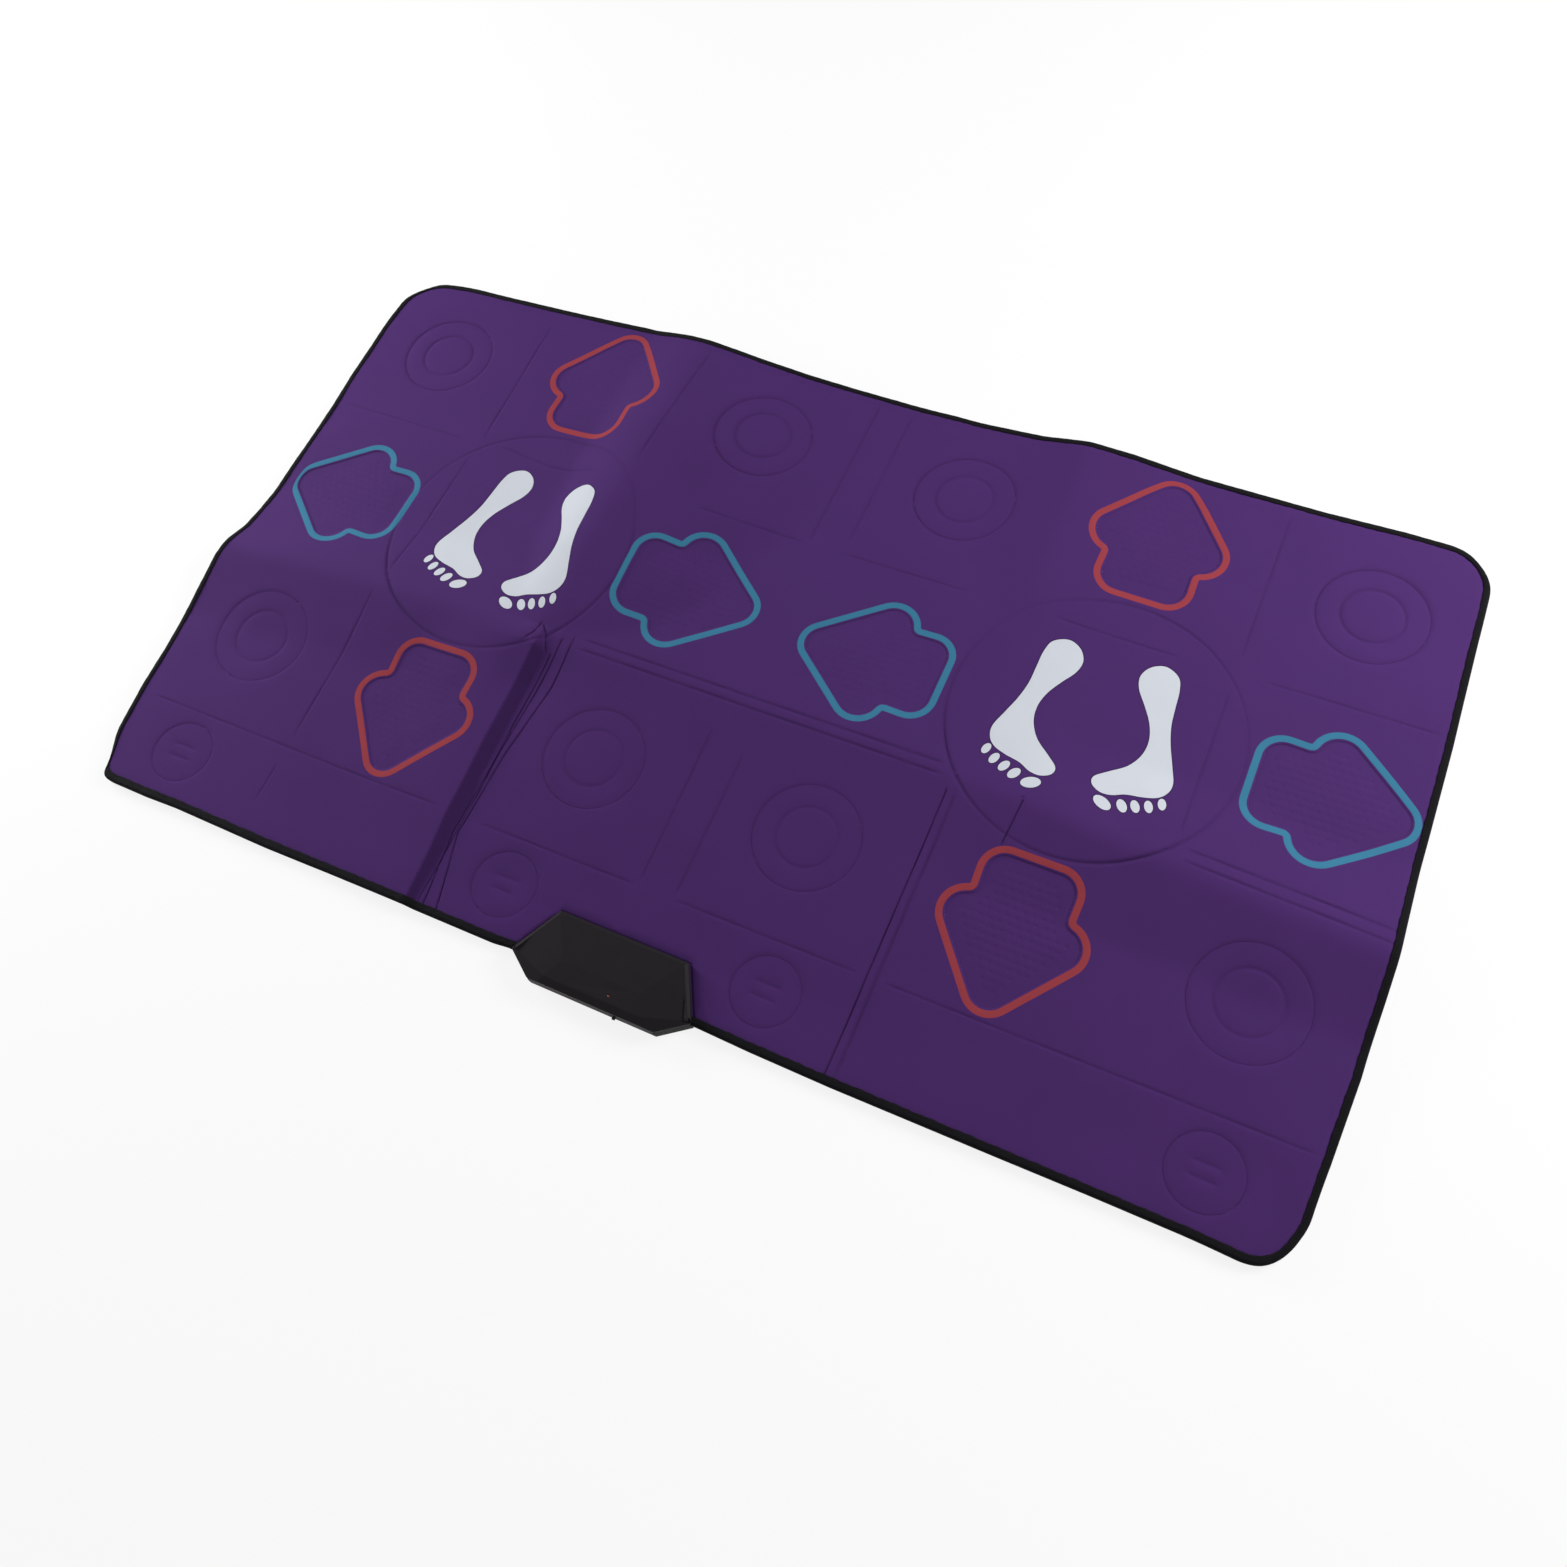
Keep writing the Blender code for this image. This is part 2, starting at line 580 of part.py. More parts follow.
def add_sensor(panel):
    x0, x1, y0, y1 = PANELS[panel]
    ob = cut(plate(f"sensor_{panel}", x0, x1, y0, y1, SENSOR_Z, SENSOR_Z + SENSOR_THICK), WHOLE, "INTERSECT")
    if panel == "front_centre":
        for number, (x, y) in enumerate(SCREWS):
            cut(ob, rod(f"sensor_screw_hole_{number}", x, y, 0, COVER_TOP, SCREW_RADIUS + 2 * GAP, 12))
        cut(ob, box("film_tail", (BOX_X - TAIL_HALF, TAIL_Y, SENSOR_Z + SENSOR_THICK / 2),
                    (BOX_X + TAIL_HALF, TAIL_Y + TAIL_THICK, TAIL_TOP_Z)), "UNION")
    paint(follow_waves(ob), "sensor")
    carry(ob, PIVOTS[panel])


def add_base(panel):
    x0, x1, y0, y1 = PANELS[panel]
    ob = cut(plate(f"base_{panel}", x0, x1, y0, y1, 0, BASE_THICK), WHOLE, "INTERSECT")
    cut(ob, tape_rebate(panel))
    if panel == "front_centre":
        cut(ob, plate("clamp_pocket", BOX_X - CLAMP_HALF - GAP, BOX_X + CLAMP_HALF + GAP, -HALF_Y - REACH,
                      BOX_BACK_Y - CLAMP_MARGIN + GAP, -REACH, CLAMP_PLATE + GAP))
        for number, (x, y) in enumerate(SCREWS):
            cut(ob, rod(f"base_screw_hole_{number}", x, y, 0, COVER_TOP, SCREW_RADIUS + 2 * GAP, 12))
    paint(follow_waves(ob), "base")
    carry(ob, PIVOTS[panel])


def long_plate(name, panel, z0, z1):
    # runs past the panel's crease edges, so that what it cuts stays open there
    x0, x1, y0, y1 = PANELS[panel]
    return plate(name, x0 - REACH / 2, x1 + REACH / 2, y0 - REACH / 2, y1 + REACH / 2, z0, z1)


def tape_window(name):
    inner = TAPE_WIDTH + GAP
    return slab(name, mat_outline(-inner), -2 * REACH, COVER_TOP + 2 * REACH)


def tape_rebate(panel):
    # room under the base sheet for the lower leg of the edge tape
    ob = long_plate(f"rebate_{panel}", panel, -REACH, TAPE_THICK + GAP)
    cut(ob, tape_window(f"rebate_window_{panel}"))
    return ob


TAPE_OUTSIDE = slab("tape_outside", mat_outline(TAPE_OUT), -REACH, TAPE_TOP + REACH)
TAPE_WINDOW = slab("tape_window", mat_outline(-TAPE_WIDTH), -2 * REACH, TAPE_TOP + 2 * REACH)
TAPE_INSIDE = slab("tape_inside", mat_outline(GAP), -3 * REACH, TAPE_TOP + 3 * REACH)


def add_binding(panel):
    x0, x1, y0, y1 = PANELS[panel]
    ob = cut(plate(f"binding_{panel}", x0, x1, y0, y1, 0, TAPE_TOP), TAPE_OUTSIDE, "INTERSECT")
    cut(ob, TAPE_WINDOW)
    channel = cut(long_plate(f"tape_channel_{panel}", panel, TAPE_THICK, TAPE_TOP - TAPE_THICK),
                  TAPE_INSIDE, "INTERSECT")
    cut(ob, channel)
    if panel == "front_centre":
        cut(ob, box("tape_notch", (BOX_X - CLAMP_HALF - GAP, -HALF_Y - REACH, -REACH),
                    (BOX_X + CLAMP_HALF + GAP, -HALF_Y + REACH, CLAMP_PLATE + GAP)))
    paint(follow_waves(ob), "tape")
    carry(ob, PIVOTS[panel])


def add_pad(name, x, y, kind):
    outline = shifted(pad_outline(kind, GAP), x, y)
    xs = [p[0] for p in outline]
    ys = [p[1] for p in outline]
    ob = plate(name, min(xs) - REACH, max(xs) + REACH, min(ys) - REACH, max(ys) + REACH, PAD_Z, PAD_TOP)
    cut(ob, slab(f"outline_of_{name}", outline, -REACH, COVER_TOP + REACH), "INTERSECT")
    paint(follow_waves(ob), "pad")
    carry(ob, PIVOTS[panel_of(x, y)], (x, y, PAD_TOP))


# Control box
def hexagon(inward):
    corners = [(-BOX_FRONT_HALF, BOX_FRONT_Y, 0), (BOX_FRONT_HALF, BOX_FRONT_Y, 0),
               (BOX_TIP_HALF, TUB_BACK_Y, 0), (BOX_BACK_HALF, BOX_BACK_Y, 0),
               (-BOX_BACK_HALF, BOX_BACK_Y, 0), (-BOX_TIP_HALF, TUB_BACK_Y, 0)]
    return [(x + BOX_X, y) for x, y, _ in inset(corners, inward)]


def gem(name, inward, low_z):
    # the faceted case form: its outline, the shoulder over each corner and the flat top
    shoulder = (BOX_FRONT_Z, BOX_FRONT_Z, BOX_TIP_Z, BOX_BACK_Z, BOX_BACK_Z, BOX_TIP_Z)
    bm = bmesh.new()
    for (x, y), z in zip(hexagon(inward), shoulder):
        bm.verts.new((x, y, low_z))
        bm.verts.new((x, y, z - inward))
    flat_top = ((BOX_FLAT_BACK_HALF, -HALF_Y + BOX_FLAT_BACK),
                (BOX_FLAT_FRONT_HALF, -HALF_Y - BOX_FLAT_FRONT))
    for side in (-1, 1):
        for half, y in flat_top:
            bm.verts.new((BOX_X + side * (half - inward), y, BOX_TOP_Z - inward))
    bmesh.ops.convex_hull(bm, input=bm.verts)
    bmesh.ops.dissolve_limit(bm, angle_limit=0.002, verts=bm.verts, edges=bm.edges)
    return add_object(name, bm)


def add_top_shell():
    rim = COVER_TOP + GAP
    ob = gem("box_top_shell", 0, rim)
    cut(ob, gem("shell_hollow", BOX_WALL, rim - REACH))
    # the front of the rim rises over the edge tape and the lower shell
    cut(ob, box("rim_step", (-BOX_TIP_HALF - REACH, BOX_FRONT_Y - REACH, rim - REACH),
                (BOX_TIP_HALF + REACH, -HALF_Y + TAPE_WIDTH + GAP, TAPE_TOP + GAP)))
    roof = BOX_BACK_Z + (BOX_TOP_Z - BOX_BACK_Z) * SCREW_FROM_BACK / (BOX_OVER_MAT - BOX_FLAT_BACK)
    for number, (x, y) in enumerate(SCREWS):
        cut(ob, rod(f"boss_{number}", x, y, rim, roof - BOX_WALL / 2, BOSS_RADIUS), "UNION")
        cut(ob, rod(f"boss_hole_{number}", x, y, rim - REACH, SCREW_TIP_Z + GAP, SCREW_RADIUS + GAP, 12))
    cut(ob, rod("led_hole", BOX_X + LED_X, -HALF_Y - LED_FROM_EDGE, TAPE_TOP + 0.001, BOX_TOP_Z + REACH,
                LED_RADIUS + GAP, 12))
    paint(settle(ob), "case")
    carry(ob, PIVOTS["front_centre"])


LEVER_Z = BOARD_Z - GAP - SWITCH_BODY[2] / 2
LEVER_INNER_Y = BOX_FRONT_Y + BOX_WALL + 0.0023
DOOR = (BOX_X + BATTERY_LEFT + DOOR_INSET, BOX_X + BATTERY_LEFT + BATTERY_LENGTH - DOOR_INSET,
        BOX_FRONT_Y + BOX_WALL + 0.001, TUB_BACK_Y - BOX_WALL - 0.001)


def add_bottom_shell():
    front = hexagon(0)
    inner = [(x + BOX_X, y) for x, y, _ in inset(
        [(-BOX_FRONT_HALF, BOX_FRONT_Y, 0), (BOX_FRONT_HALF, BOX_FRONT_Y, 0),
         (BOX_TIP_HALF, TUB_BACK_Y, 0), (-BOX_TIP_HALF, TUB_BACK_Y, 0)], BOX_WALL)]
    ob = slab("box_bottom_shell", [front[5], front[0], front[1], front[2]], 0, TUB_TOP)
    cut(ob, slab("tub_hollow", inner, BOX_WALL, TUB_TOP + REACH))
    cut(ob, box("clamp_plate", (BOX_X - CLAMP_HALF, TUB_BACK_Y - BOX_WALL / 2, 0),
                (BOX_X + CLAMP_HALF, BOX_BACK_Y - CLAMP_MARGIN, CLAMP_PLATE)), "UNION")
    for number, x in enumerate((BOARD_LEFT + 0.018, BOARD_RIGHT - 0.008)):
        cut(ob, rod(f"board_post_{number}", BOX_X + x, BOX_FRONT_Y + 0.012, BOX_WALL / 2, BOARD_Z - GAP,
                    POST_RADIUS, 12), "UNION")
    cut(ob, box("door_opening", (DOOR[0] - GAP, DOOR[2] - GAP, -REACH),
                (DOOR[1] + GAP, DOOR[3] + GAP, BOX_WALL + SLIVER)))
    slot_left = BOX_X + SWITCH_X - SWITCH_TRAVEL - LEVER_WIDTH / 2 - 2 * GAP
    slot_right = BOX_X + SWITCH_X + LEVER_WIDTH / 2 + 2 * GAP
    cut(ob, box("lever_slot", (slot_left, BOX_FRONT_Y - REACH, LEVER_Z - LEVER_HEIGHT / 2 - GAP),
                (slot_right, BOX_FRONT_Y + BOX_WALL + SLIVER, TUB_TOP + REACH)))
    for number, (x, y) in enumerate(SCREWS):
        cut(ob, rod(f"clamp_hole_{number}", x, y, -REACH, REACH, SCREW_RADIUS + GAP, 12))
        cut(ob, rod(f"head_recess_{number}", x, y, -REACH, SCREW_HEAD + 2 * GAP, SCREW_HEAD_RADIUS + GAP, 12))
    paint(settle(ob), "case")
    carry(ob, PIVOTS["front_centre"])


def add_board():
    front = BOX_FRONT_Y + BOARD_FROM_FRONT
    ob = box("circuit_board", (BOX_X + BOARD_LEFT, front, BOARD_Z),
             (BOX_X + BOARD_RIGHT, front + BOARD_DEPTH, BOARD_Z + BOARD_THICK))
    paint(ob, "board")
    carry(ob, PIVOTS["front_centre"])
    top = BOARD_Z + BOARD_THICK + GAP
    on_board = (
        ("film_connector", CONNECTOR, 0, front + BOARD_DEPTH - CONNECTOR[1] / 2, "chip"),
        ("main_chip", CHIP, 0.004, front + 0.033, "chip"),
        ("radio_module", RADIO, 0.050, front + 0.040, "metal"),
    )
    for name, (w, d, h), x, y, look in on_board:
        ob = box(name, (BOX_X + x - w / 2, y - d / 2, top), (BOX_X + x + w / 2, y + d / 2, top + h))
        paint(ob, look)
        carry(ob, PIVOTS["front_centre"])
    led = rod("power_led", BOX_X + LED_X, -HALF_Y - LED_FROM_EDGE, top, BOX_TOP_Z - GAP, LED_RADIUS, 12)
    bevel = led.modifiers.new("dome", "BEVEL")
    bevel.width = LED_RADIUS / 3
    bevel.segments = 2
    bevel.limit_method = "ANGLE"
    bevel.angle_limit = 1.0
    paint(led, "lens")
    carry(led, PIVOTS["front_centre"])


def add_switch():
    w, d, h = SWITCH_BODY
    x = BOX_X + SWITCH_X - SWITCH_TRAVEL / 2
    face = BOX_FRONT_Y + BOX_WALL + GAP
    body = box("switch_body", (x - w / 2, face, BOARD_Z - GAP - h), (x + w / 2, face + d, BOARD_Z - GAP))
    reach = SWITCH_TRAVEL / 2 + LEVER_WIDTH / 2 + GAP
    cut(body, box("lever_pocket", (x - reach, face - REACH, LEVER_Z - LEVER_HEIGHT / 2 - GAP),
                  (x + reach, LEVER_INNER_Y + GAP, LEVER_Z + LEVER_HEIGHT / 2 + GAP)))
    paint(settle(body), "metal")
    carry(body, PIVOTS["front_centre"])
    at = BOX_X + SWITCH_X
    lever = box("switch_lever", (at - LEVER_WIDTH / 2, LEVER_TIP_Y, LEVER_Z - LEVER_HEIGHT / 2),
                (at + LEVER_WIDTH / 2, LEVER_INNER_Y, LEVER_Z + LEVER_HEIGHT / 2))
    paint(lever, "case")
    carry(lever, PIVOTS["front_centre"], (at, LEVER_TIP_Y, LEVER_Z))


def add_batteries():
    z = BOX_WALL + GAP + BATTERY_RADIUS
    middle = (DOOR[2] + DOOR[3]) / 2
    pitch = 2 * BATTERY_RADIUS + 2 * GAP
    for name, side in (("battery_front", -1), ("battery_rear", 1)):
        profile = [(0, BATTERY_NUB + BATTERY_LENGTH), (BATTERY_NUB_RADIUS, BATTERY_NUB + BATTERY_LENGTH),
                   (BATTERY_NUB_RADIUS, BATTERY_LENGTH), (BATTERY_RADIUS, BATTERY_LENGTH),
                   (BATTERY_RADIUS, 0), (0, 0)]
        bm = bmesh.new()
        verts = [bm.verts.new((r, 0, along)) for r, along in profile]
        for a, b in zip(verts, verts[1:]):
            bm.edges.new((a, b))
        mesh = bpy.data.meshes.new(name)
        bm.to_mesh(mesh)
        bm.free()
        ob = bpy.data.objects.new(name, mesh)
        PARTS.objects.link(ob)
        turn = ob.modifiers.new("turned", "SCREW")
        turn.axis = "Z"
        turn.steps = turn.render_steps = 16
        turn.use_merge_vertices = True
        turn.merge_threshold = 0.00001
        settle(ob)
        start = BATTERY_LEFT if side > 0 else BATTERY_LEFT + BATTERY_LENGTH + BATTERY_NUB
        place = Matrix.Translation((BOX_X + start, middle + side * pitch / 2, z))
        ob.data.transform(place @ Matrix.Rotation(side * pi / 2, 4, "Y"))
        paint(ob, "cell")
        carry(ob, PIVOTS["front_centre"])
    ends = (("battery_contact_left", BATTERY_LEFT - GAP - CONTACT_THICK),
            ("battery_contact_right", BATTERY_LEFT + BATTERY_LENGTH + BATTERY_NUB + GAP))
    for name, x in ends:
        ob = box(name, (BOX_X + x, DOOR[2], BOX_WALL + GAP),
                 (BOX_X + x + CONTACT_THICK, DOOR[3], TUB_TOP - GAP))
        paint(ob, "metal")
        carry(ob, PIVOTS["front_centre"])
    door = box("battery_door", (DOOR[0], DOOR[2], 0), (DOOR[1], DOOR[3], DOOR_THICK))
    paint(door, "case")
    carry(door, PIVOTS["front_centre"])


def add_screws():
    for name, (x, y) in zip(("clamp_screw_left", "clamp_screw_right"), SCREWS):
        ob = rod(name, x, y, GAP, GAP + SCREW_HEAD, SCREW_HEAD_RADIUS, 16)
        cut(ob, rod(f"shank_of_{name}", x, y, GAP + SCREW_HEAD / 2, SCREW_TIP_Z, SCREW_RADIUS, 12), "UNION")
        cut(ob, box(f"slot_of_{name}", (x - SCREW_HEAD_RADIUS * 0.7, y - 0.0003, -REACH),
                    (x + SCREW_HEAD_RADIUS * 0.7, y + 0.0003, GAP + SCREW_HEAD * 0.4)))
        paint(settle(ob), "metal")
        carry(ob, PIVOTS["front_centre"])


for panel_name in PANELS:
    add_base(panel_name)
    add_sensor(panel_name)
    add_cover(panel_name)
    add_binding(panel_name)
for pad in PADS:
    add_pad(*pad)
add_top_shell()
add_bottom_shell()
add_board()
add_switch()
add_batteries()
add_screws()
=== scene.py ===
import bpy
import math
from mathutils import Matrix, Vector
from mathutils.geometry import delaunay_2d_cdt
import numpy as np


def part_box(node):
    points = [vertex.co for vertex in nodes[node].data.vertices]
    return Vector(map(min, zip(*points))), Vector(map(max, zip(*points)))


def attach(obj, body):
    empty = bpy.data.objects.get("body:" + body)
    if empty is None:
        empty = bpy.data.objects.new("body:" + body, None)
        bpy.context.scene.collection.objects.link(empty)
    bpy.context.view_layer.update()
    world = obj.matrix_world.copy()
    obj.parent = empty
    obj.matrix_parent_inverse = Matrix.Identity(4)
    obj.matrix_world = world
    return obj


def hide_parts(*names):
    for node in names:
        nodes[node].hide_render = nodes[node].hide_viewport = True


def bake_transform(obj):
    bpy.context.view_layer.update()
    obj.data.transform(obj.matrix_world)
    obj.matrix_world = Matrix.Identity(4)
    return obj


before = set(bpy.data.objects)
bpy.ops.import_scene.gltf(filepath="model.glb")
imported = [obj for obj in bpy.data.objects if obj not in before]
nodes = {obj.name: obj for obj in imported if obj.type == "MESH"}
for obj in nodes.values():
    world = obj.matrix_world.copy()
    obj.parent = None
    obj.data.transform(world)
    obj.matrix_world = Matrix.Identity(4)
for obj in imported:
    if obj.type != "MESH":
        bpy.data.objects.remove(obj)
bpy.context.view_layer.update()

# The view of the photograph: an eye above and in front of the mat, turned and slightly rolled
view = {
    "eye": (0.5485, -0.6631, 1.4781),
    "direction": (-0.2767, 0.3272, -0.9035),
    "right": (0.9040, 0.4075, -0.1293),
    "lens": 29.93,
}


def addCamera():
    data = bpy.data.cameras.new("photoCamera")
    data.lens = view["lens"]
    data.sensor_width = 36.0
    data.sensor_fit = "HORIZONTAL"
    camera = bpy.data.objects.new("photoCamera", data)
    bpy.context.collection.objects.link(camera)
    back = -Vector(view["direction"]).normalized()
    right = Vector(view["right"])
    right = (right - right.dot(back) * back).normalized()
    turn = Matrix((right, back.cross(right), back)).transposed().to_4x4()
    camera.matrix_world = Matrix.Translation(view["eye"]) @ turn
    bpy.context.scene.camera = camera


addCamera()
print("camera ready")

# The mat lies in its own plane with its middle at zero, and is moved to the frame's origin at the end
mat = {
    "halfX": 0.825, "halfY": 0.465, "corner": 0.070,
    "shift": 0.0152,                       # the mat's middle is this far behind the origin
    "baseTop": 0.0040, "filmLow": 0.0043, "filmTop": 0.0053,
    "coverLow": 0.0056, "coverTop": 0.0110, "padLow": 0.0071,
    "creaseLeft": -0.290, "creaseRight": 0.290, "creaseLong": -0.070,
    "seamX": -0.011,                       # the quarters meet here, in a pressed line
    "stripX": 0.235, "stripY": 0.028,      # half sizes of the strip over the long crease
    "boxX": 0.003,                         # the control box's middle
    "grid": 0.0068,                        # the cover's mesh, away from all marks
}

# Waves that the folds left in the mat
waves = {
    "longRidge": 0.0250, "longFoot": 0.110, "frontSlope": 0.320,
    "drift": 0.030, "driftReach": 0.535,   # the long ridge leaves its crease towards the mat's ends
    "frontFall": ((0, 1), (0.11, 0.80), (0.235, 0.62), (0.44, 0.42), (0.72, 0.20), (1, 0)),
    "roofShare": ((0, 1), (0.170, 0.45), (0.535, 0.30)),
    "leftHeight": ((0, 0.0250), (0.050, 0.0344), (0.130, 0.0430), (0.360, 0.0430), (0.535, 0.0220)),
    "leftShape": ((-0.240, 0), (-0.170, 0.06), (-0.095, 0.20), (-0.035, 0.82), (0, 1),
                  (0.062, 0.86), (0.140, 0.62), (0.230, 0.33), (0.340, 0)),
    "rightHeight": ((0, 0.0250), (0.130, 0.0220), (0.535, 0.0220)),
    "rightShape": ((-0.160, 0), (-0.070, 0.45), (0, 1), (0.060, 0.50), (0.150, 0)),
    "valley": ((-0.095, 0), (-0.035, 0.30), (0, 0.65), (0.062, 0.25), (0.140, 0)),
    "valleyStart": 0.075,
    "softness": 0.009,                     # how widely the folds are rounded
    # the steep flank beside the front left crease: its middle, height and half width, by how far in front
    "flankX": ((0.078, -0.2800), (0.140, -0.2825), (0.240, -0.2815), (0.300, -0.2790), (0.400, -0.2755),
               (0.465, -0.2745)),
    "flankHeight": ((0.060, 0), (0.090, 0.0095), (0.240, 0.0095), (0.340, 0.0075), (0.400, 0.0060),
                    (0.465, 0.0050)),
    "flankHalf": ((0.060, 0.0078), (0.260, 0.0085), (0.340, 0.0100), (0.400, 0.0075), (0.465, 0.0055)),
    "flankRise": 0.170,
    # how far the left and right edges move in x and the back and front edges in y, by the place along them
    "leftPull": ((-0.465, 0.036), (-0.420, 0.031), (-0.390, 0.0270), (-0.330, 0.0207), (-0.270, 0.0185),
                 (-0.240, 0.0162), (-0.210, 0.0135), (-0.180, 0.0130), (-0.120, 0.0141), (-0.090, 0.0187),
                 (-0.060, 0.0260), (-0.030, 0.0260), (0.000, 0.0245), (0.060, 0.0225), (0.120, 0.0222),
                 (0.180, 0.0205), (0.240, 0.0165), (0.300, 0.0152), (0.360, 0.0130), (0.400, 0.0110),
                 (0.465, 0.0080)),
    "rightPull": ((-0.465, -0.012), (-0.420, -0.0130), (-0.390, -0.0110), (-0.340, -0.0065),
                  (-0.300, -0.0045), (-0.240, -0.0014), (-0.150, -0.0010), (-0.060, -0.0017),
                  (0.060, -0.0022), (0.180, -0.0036), (0.240, -0.0055), (0.330, -0.0080),
                  (0.400, -0.0090), (0.465, -0.0090)),
    "backPull": ((-0.825, -0.012), (-0.750, -0.0100), (-0.650, -0.0088), (-0.550, -0.0058),
                 (-0.450, -0.0030), (-0.400, -0.0020), (-0.350, -0.0045), (-0.300, -0.0080),
                 (-0.200, -0.0138), (-0.125, -0.0158), (-0.050, -0.0148), (0.050, -0.0118),
                 (0.100, -0.0108), (0.150, -0.0118), (0.225, -0.0138), (0.300, -0.0110),
                 (0.350, -0.0060), (0.450, -0.0063), (0.600, -0.0092), (0.700, -0.0075), (0.825, -0.0090)),
    "frontPull": ((-0.825, -0.0040), (-0.700, -0.0045), (-0.650, -0.0028), (-0.500, -0.0045),
                  (-0.400, -0.0030), (-0.150, -0.0022), (-0.130, 0), (0.130, 0), (0.200, -0.0020),
                  (0.300, -0.0030), (0.500, -0.0015), (0.600, -0.0004), (0.825, 0)),
    "pullReach": 0.060, "frontReach": 0.020,
    # how far corners are drawn in towards the middle: side, side, distance
    "cornerPull": ((-1, 1, 0.0142), (1, 1, 0.0020), (1, -1, -0.0055)),
    "cornerReach": 0.130,
}


def along(value, points):
    return np.interp(value, [p[0] for p in points], [p[1] for p in points])


def ease(value):
    value = np.clip(value, 0, 1)
    return value * value * (3 - 2 * value)


def foldHeight(x, y):
    past = np.maximum(0, np.abs(x) - mat["creaseRight"])
    ridgeY = mat["creaseLong"] - waves["drift"] * np.minimum(1, past / waves["driftReach"])
    behindRidge = (mat["halfY"] - y) / (mat["halfY"] - ridgeY)
    roof = np.where(y >= ridgeY, behindRidge, along((ridgeY - y) / waves["frontSlope"], waves["frontFall"]))
    narrow = np.maximum(0, 1 - np.abs(y - ridgeY) / waves["longFoot"])
    share = along(past, waves["roofShare"])
    height = waves["longRidge"] * (share * roof + (1 - share) * narrow)
    behind = y - mat["creaseLong"]
    left = along(behind, waves["leftHeight"]) * along(x - mat["creaseLeft"], waves["leftShape"])
    right = along(behind, waves["rightHeight"]) * along(x - mat["creaseRight"], waves["rightShape"])
    fade = np.clip(-behind / waves["valleyStart"], 0, 1)
    front = height * (1 - fade * along(x - mat["creaseLeft"], waves["valley"]))
    return np.where(behind >= 0, np.maximum(height, np.maximum(left, right)), front)


def roundedWaves(step=0.0025, margin=0.04):
    xs = np.arange(-mat["halfX"] - margin, mat["halfX"] + margin + step, step)
    ys = np.arange(-mat["halfY"] - margin, mat["halfY"] + margin + step, step)
    x, y = np.meshgrid(np.clip(xs, -mat["halfX"], mat["halfX"]), np.clip(ys, -mat["halfY"], mat["halfY"]))
    height = foldHeight(x, y)
    reach = int(3 * waves["softness"] / step)
    weights = np.exp(-0.5 * (np.arange(-reach, reach + 1) * step / waves["softness"]) ** 2)
    weights /= weights.sum()
    for axis in (0, 1):
        padded = np.pad(height, [(reach, reach) if axis == k else (0, 0) for k in (0, 1)], mode="edge")
        count = height.shape[axis]
        height = sum(w * np.take(padded, range(k, k + count), axis) for k, w in enumerate(weights))
    return xs[0], ys[0], step, height


waveMap = roundedWaves()


def lift(x, y):
    # how high the folds raise the mat at a point
    x0, y0, step, height = waveMap
    i = np.clip((x - x0) / step, 0, height.shape[1] - 1.001)
    j = np.clip((y - y0) / step, 0, height.shape[0] - 1.001)
    a, b = i.astype(int), j.astype(int)
    u, v = i - a, j - b
    low = height[b, a] * (1 - u) + height[b, a + 1] * u
    high = height[b + 1, a] * (1 - u) + height[b + 1, a + 1] * u
    flank = x - along(-y, waves["flankX"])
    half = along(-y, waves["flankHalf"])
    rise = ease((flank + waves["flankRise"]) / (waves["flankRise"] - half))
    fall = np.clip((half - flank) / (2 * half), 0, 1)
    return low * (1 - v) + high * v + along(-y, waves["flankHeight"]) * (rise * fall)


def pulled(x, y):
    # the edges are drawn in a little, as the folds take up cloth
    left = ease(1 - (x + mat["halfX"]) / waves["pullReach"]) * along(y, waves["leftPull"])
    right = ease(1 - (mat["halfX"] - x) / waves["pullReach"]) * along(y, waves["rightPull"])
    back = ease(1 - (mat["halfY"] - y) / waves["pullReach"]) * along(x, waves["backPull"])
    front = ease(1 - (y + mat["halfY"]) / waves["frontReach"]) * along(x, waves["frontPull"])
    movedX, movedY = x + left + right, y + back + front
    for sideX, sideY, distance in waves["cornerPull"]:
        away = np.hypot(x - sideX * mat["halfX"], y - sideY * mat["halfY"])
        pull = distance * ease(1 - away / waves["cornerReach"]) / math.sqrt(2)
        movedX, movedY = movedX - sideX * pull, movedY - sideY * pull
    return movedX, movedY


def edgeDistance(x, y):
    # how far inside the mat's outline a point lies
    qx = np.abs(x) - (mat["halfX"] - mat["corner"])
    qy = np.abs(y) - (mat["halfY"] - mat["corner"])
    outside = np.hypot(np.maximum(qx, 0), np.maximum(qy, 0)) + np.minimum(np.maximum(qx, qy), 0)
    return mat["corner"] - outside


print("waves ready")

